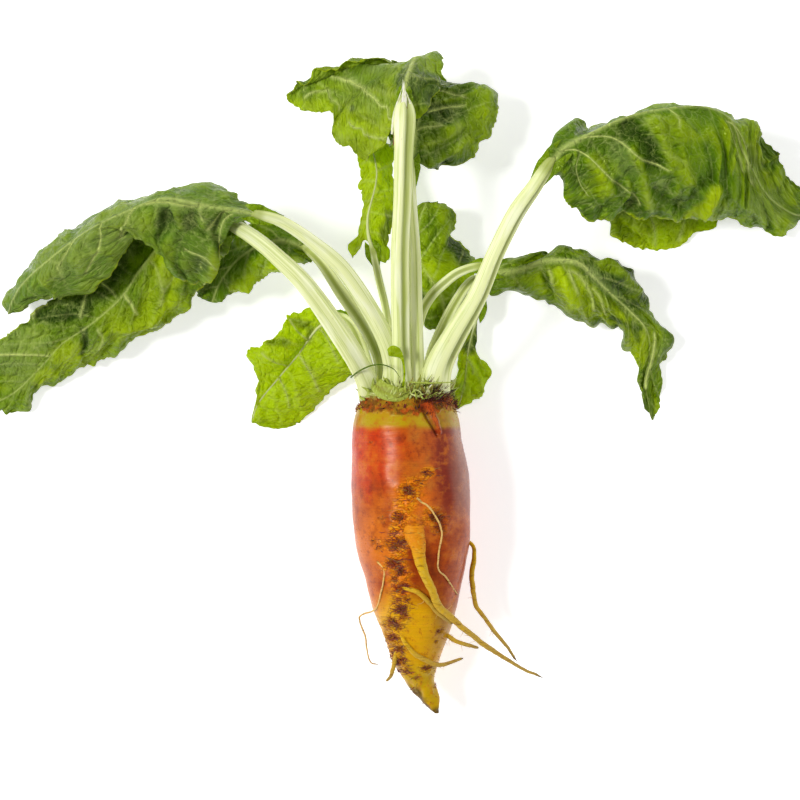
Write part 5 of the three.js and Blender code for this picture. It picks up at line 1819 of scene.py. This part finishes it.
def torn_fibre(draw):
    """A torn fibre lying over the crown behind and beside the torn leaf base."""
    x = draw.uniform(-38, 22)
    turn = draw.normal(1.4 - x / 60, 0.7)
    reach = draw.uniform(5, 12)
    bend = turn + draw.normal() * 0.3
    xs = x + np.array((0, 0.5 * math.cos(turn), 0.5 * math.cos(turn) + 0.5 * math.cos(bend))) * reach
    way = np.array((0, 0.5 * math.sin(turn), 0.5 * math.sin(turn) + 0.5 * math.sin(bend)))
    ys = draw.uniform(90, 97) + way * reach
    path = on_root(xs, np.minimum(ys, 99), draw.uniform(0, 4) + np.array((0, 2.5, 1.5)))
    path[:, 1] = ys
    return scale_piece(path, draw.uniform(0.8, 2.8), draw.uniform(0.12, 0.42), 0.35, 6)


def build_torn_leaf_base(dry):
    """The scooped green base of a torn-off leaf, with fibres round it."""
    draw = np.random.default_rng(21)
    base = scale_piece(CROWN_PIECES["torn_leaf_base"], 17, 0.31, 0.45, 36, 0.8, 0.5, scoop=0.6)
    points, faces, fields = joined([base, *(torn_fibre(draw) for _ in range(64))])
    make_object("beet_torn_leaf_base", points, faces, fields, dry, ["torn_leaf_base"])


def build_young_leaf(leafy):
    """A small folded leaf that curls over at the crown's middle."""
    path = np.array(CROWN_PIECES["young_leaf"], float)
    t = evenly(path, 0.6)
    width = curve(YOUNG_LEAF_WIDTHS, t)[:, 0]
    points, faces = tube(curve(path, t), width / 2, 20, 0.25)
    make_object("beet_young_leaf", points, faces, leaf_values(points, lime=0.6, dome=0.5), leafy,
                ["young_leaf"])


# ---- Settings ----


def colour(name, description, default):
    """A setting for a colour."""
    return FloatVectorProperty(name=name, description=description, default=default, subtype="COLOR",
                               size=4, min=0, max=1)


def length(name, description, default):
    """A setting for a size in metres."""
    return FloatProperty(name=name, description=description, default=default, min=0.0002,
                         subtype="DISTANCE", unit="LENGTH", precision=4)


class BeetRootSettings(bpy.types.PropertyGroup):
    """Sizes and colours of the taproot and its side roots."""

    detail: length("Detail", "Distance between the points of the taproot's skin", 0.0012)
    red: colour("Red", "Skin of the upper half", srgb(190, 48, 5))
    orange: colour("Orange", "Skin between the red and the gold", srgb(160, 64, 10))
    # Crimson is painted shade: the red skin made darker on the right side, away from the light.
    crimson: colour("Crimson", "Darkest skin, on the right", srgb(122, 26, 12))
    gold: colour("Gold", "Skin near the tip", srgb(216, 166, 0))
    olive: colour("Olive", "Band below the crown", srgb(172, 144, 6))
    tan: colour("Tan", "Side roots towards their ends", srgb(164, 134, 62))


class BeetLeafSettings(bpy.types.PropertyGroup):
    """Sizes and colours of the leaf blades."""

    detail: length("Detail", "Distance between the points of a blade", 0.0017)
    thickness: length("Thickness", "Thickness of a blade away from its edge", 0.0007)
    green: colour("Upper side", "Green of a blade's upper side", srgb(92, 134, 0))
    under: colour("Under side", "Green of a blade's under side", srgb(116, 150, 2))
    # Deep green is the blades' own darker green and painted shade in their folds and hollows.
    deep: colour("Deep green", "Green in the folds and of old blades", srgb(26, 60, 0))
    # Lime is the young blades' own colour and painted light coming through thin places.
    lime: colour("Lime", "Young blades and thin places", srgb(204, 222, 0))
    # The grey sheen is painted, standing in for light reflected off the blades.
    bloom: colour("Bloom", "Greyish reflection on a blade", srgb(126, 148, 76))
    vein: colour("Veins", "Raised pale veins", srgb(214, 226, 132))
    glow: colour("Glow", "Light that comes through a blade", srgb(204, 232, 0))


class BeetStalkSettings(bpy.types.PropertyGroup):
    """Sizes and colours of the leaf stalks."""

    detail: length("Detail", "Distance between the rings of a stalk", 0.0025)
    cream: colour("Skin", "Main colour of the stalks", srgb(230, 235, 172))
    stripe: colour("Stripes", "Green stripes along the stalks", srgb(180, 194, 96))
    white: colour("Threads", "Whitest threads along the stalks", srgb(246, 248, 218))
    groove: colour("Groove", "Groove along the stalk", srgb(142, 156, 50))


class BeetStageSettings(bpy.types.PropertyGroup):
    """Light over the floor that the beet lies on."""

    key: FloatProperty(name="Key light", description="Strength of the soft light on the left",
                       default=2.4, min=0)
    fill: FloatProperty(name="Fill light", description="Strength of the soft light on the right",
                        default=0.9, min=0)
    sky: FloatProperty(name="Surroundings", description="Brightness of the surroundings at eye level",
                       default=0.8, min=0)


# ---- Operators ----


class BeetOperator(bpy.types.Operator):
    """Shared by the operators below."""

    bl_options = {"REGISTER", "UNDO"}


class BEET_OT_taproot(BeetOperator):
    """Make the taproot with its skin, scars and crown rim"""

    bl_idname = "beet.taproot"
    bl_label = "Taproot"

    def execute(self, context):
        build_taproot(context.scene.beet_roots)
        build_scar_threads()
        return {"FINISHED"}


class BEET_OT_side_roots(BeetOperator):
    """Make the side roots and root hairs"""

    bl_idname = "beet.side_roots"
    bl_label = "Side roots"

    def execute(self, context):
        material = rootlet_material(context.scene.beet_roots)
        for seed, (name, rootlet) in enumerate(ROOTLETS.items()):
            build_rootlet(name, rootlet, seed, material)
        return {"FINISHED"}


class BEET_OT_blades(BeetOperator):
    """Make the leaf blades"""

    bl_idname = "beet.blades"
    bl_label = "Leaf blades"

    def execute(self, context):
        material = leaf_material(context.scene.beet_leaves)
        for name, leaf in LEAVES.items():
            build_blade(name, leaf, context.scene.beet_leaves, material)
        return {"FINISHED"}


class BEET_OT_stalks(BeetOperator):
    """Make the leaf stalks with their midribs"""

    bl_idname = "beet.stalks"
    bl_label = "Stalks"

    def execute(self, context):
        material = stalk_material(context.scene.beet_stalks)
        for name, leaf in LEAVES.items():
            build_stalk(name, leaf, context.scene.beet_stalks, material)
        return {"FINISHED"}


class BEET_OT_crown(BeetOperator):
    """Make the dry scales, torn leaf base, young leaf and strands at the crown"""

    bl_idname = "beet.crown"
    bl_label = "Crown"

    def execute(self, context):
        build_crown_scales()
        build_papery_skin()
        dry = scale_material()
        leafy = leaf_material(context.scene.beet_leaves)
        build_strands(dry, leafy)
        build_dry_stub(dry)
        build_torn_leaf_base(dry)
        build_young_leaf(leafy)
        return {"FINISHED"}


class BEET_OT_stage(BeetOperator):
    """Set up the floor, the light and the camera above the beet"""

    bl_idname = "beet.stage"
    bl_label = "Stage"

    def execute(self, context):
        stage = context.scene.beet_stage
        build_floor()
        softbox("key_light", *KEY_LIGHT, stage.key)
        softbox("fill_light", *FILL_LIGHT, stage.fill)
        light_surroundings(context.scene, stage.sky)
        place_camera(context.scene)
        return {"FINISHED"}


def build_floor():
    """The floor that the beet lies on, wide enough to reach past any view."""
    mesh = bpy.data.meshes.new("floor")
    corners = [(x * FLOOR_HALF, y * FLOOR_HALF, 0) for x, y in ((-1, -1), (1, -1), (1, 1), (-1, 1))]
    mesh.from_pydata(corners, [], [(0, 1, 2, 3)])
    mesh.materials.append(floor_material())
    floor = bpy.data.objects.new("floor", mesh)
    bpy.context.scene.collection.objects.link(floor)


def softbox(name, direction, width, strength):
    """A far light as wide as the given angle in degrees, shining from a direction."""
    light = bpy.data.lights.new(name, "SUN")
    light.angle = math.radians(width)
    light.energy = strength
    lamp = bpy.data.objects.new(name, light)
    lamp.rotation_euler = Vector(direction).to_track_quat("Z", "Y").to_euler()
    bpy.context.scene.collection.objects.link(lamp)


def light_surroundings(scene, strength):
    """Pale surroundings, darker overhead than at eye level."""
    world = bpy.data.worlds.new("pale_surroundings")
    world.use_nodes = True
    tree = world.node_tree
    place = tree.nodes.new("ShaderNodeTexCoord")
    axes = tree.nodes.new("ShaderNodeSeparateXYZ")
    fade = tree.nodes.new("ShaderNodeMapRange")
    fade.inputs["To Min"].default_value = strength
    fade.inputs["To Max"].default_value = OVERHEAD_SHARE * strength
    tree.links.new(place.outputs["Generated"], axes.inputs[0])
    tree.links.new(axes.outputs["Z"], fade.inputs["Value"])
    tree.links.new(fade.outputs[0], tree.nodes["Background"].inputs["Strength"])
    tree.nodes["Background"].inputs["Color"].default_value = (1.0, 1.0, 1.0, 1.0)
    scene.world = world
    scene.view_settings.view_transform = "Standard"


def place_camera(scene):
    """A camera with a long lens that looks straight down."""
    data = bpy.data.cameras.new("camera")
    data.sensor_width = CAMERA_SENSOR
    data.lens = CAMERA_LENS
    data.clip_end = CAMERA_REACH
    camera = bpy.data.objects.new("camera", data)
    camera.location = CAMERA_PLACE
    scene.collection.objects.link(camera)
    scene.camera = camera


class BEET_PT_panel(bpy.types.Panel):
    """Settings of the beet and buttons that build its pieces"""

    bl_idname = "BEET_PT_panel"
    bl_label = "Fodder beet"
    bl_space_type = "VIEW_3D"
    bl_region_type = "UI"
    bl_category = "Beet"

    def draw(self, context):
        scene = context.scene
        groups = (
            (scene.beet_roots, ("beet.taproot", "beet.side_roots")),
            (scene.beet_leaves, ("beet.blades", "beet.crown")),
            (scene.beet_stalks, ("beet.stalks",)),
            (scene.beet_stage, ("beet.stage",)),
        )
        for settings, operators in groups:
            box = self.layout.box()
            for key in type(settings).__annotations__:
                box.prop(settings, key)
            for operator in operators:
                box.operator(operator)


SETTINGS = {
    "beet_roots": BeetRootSettings,
    "beet_leaves": BeetLeafSettings,
    "beet_stalks": BeetStalkSettings,
    "beet_stage": BeetStageSettings,
}
CLASSES = (
    *SETTINGS.values(), BEET_OT_taproot, BEET_OT_side_roots, BEET_OT_blades, BEET_OT_stalks,
    BEET_OT_crown, BEET_OT_stage, BEET_PT_panel,
)


def register():
    """Make the operators, the panel and the settings known to Blender."""
    for item in CLASSES:
        bpy.utils.register_class(item)
    for key, group in SETTINGS.items():
        setattr(bpy.types.Scene, key, PointerProperty(type=group))


def unregister():
    """Take them away again."""
    for key in SETTINGS:
        delattr(bpy.types.Scene, key)
    for item in reversed(CLASSES):
        bpy.utils.unregister_class(item)


def main():
    """Build every piece in order."""
    register()
    bpy.ops.beet.taproot()
    bpy.ops.beet.side_roots()
    bpy.ops.beet.blades()
    bpy.ops.beet.stalks()
    bpy.ops.beet.crown()
    bpy.ops.beet.stage()


if __name__ == "__main__":
    main()
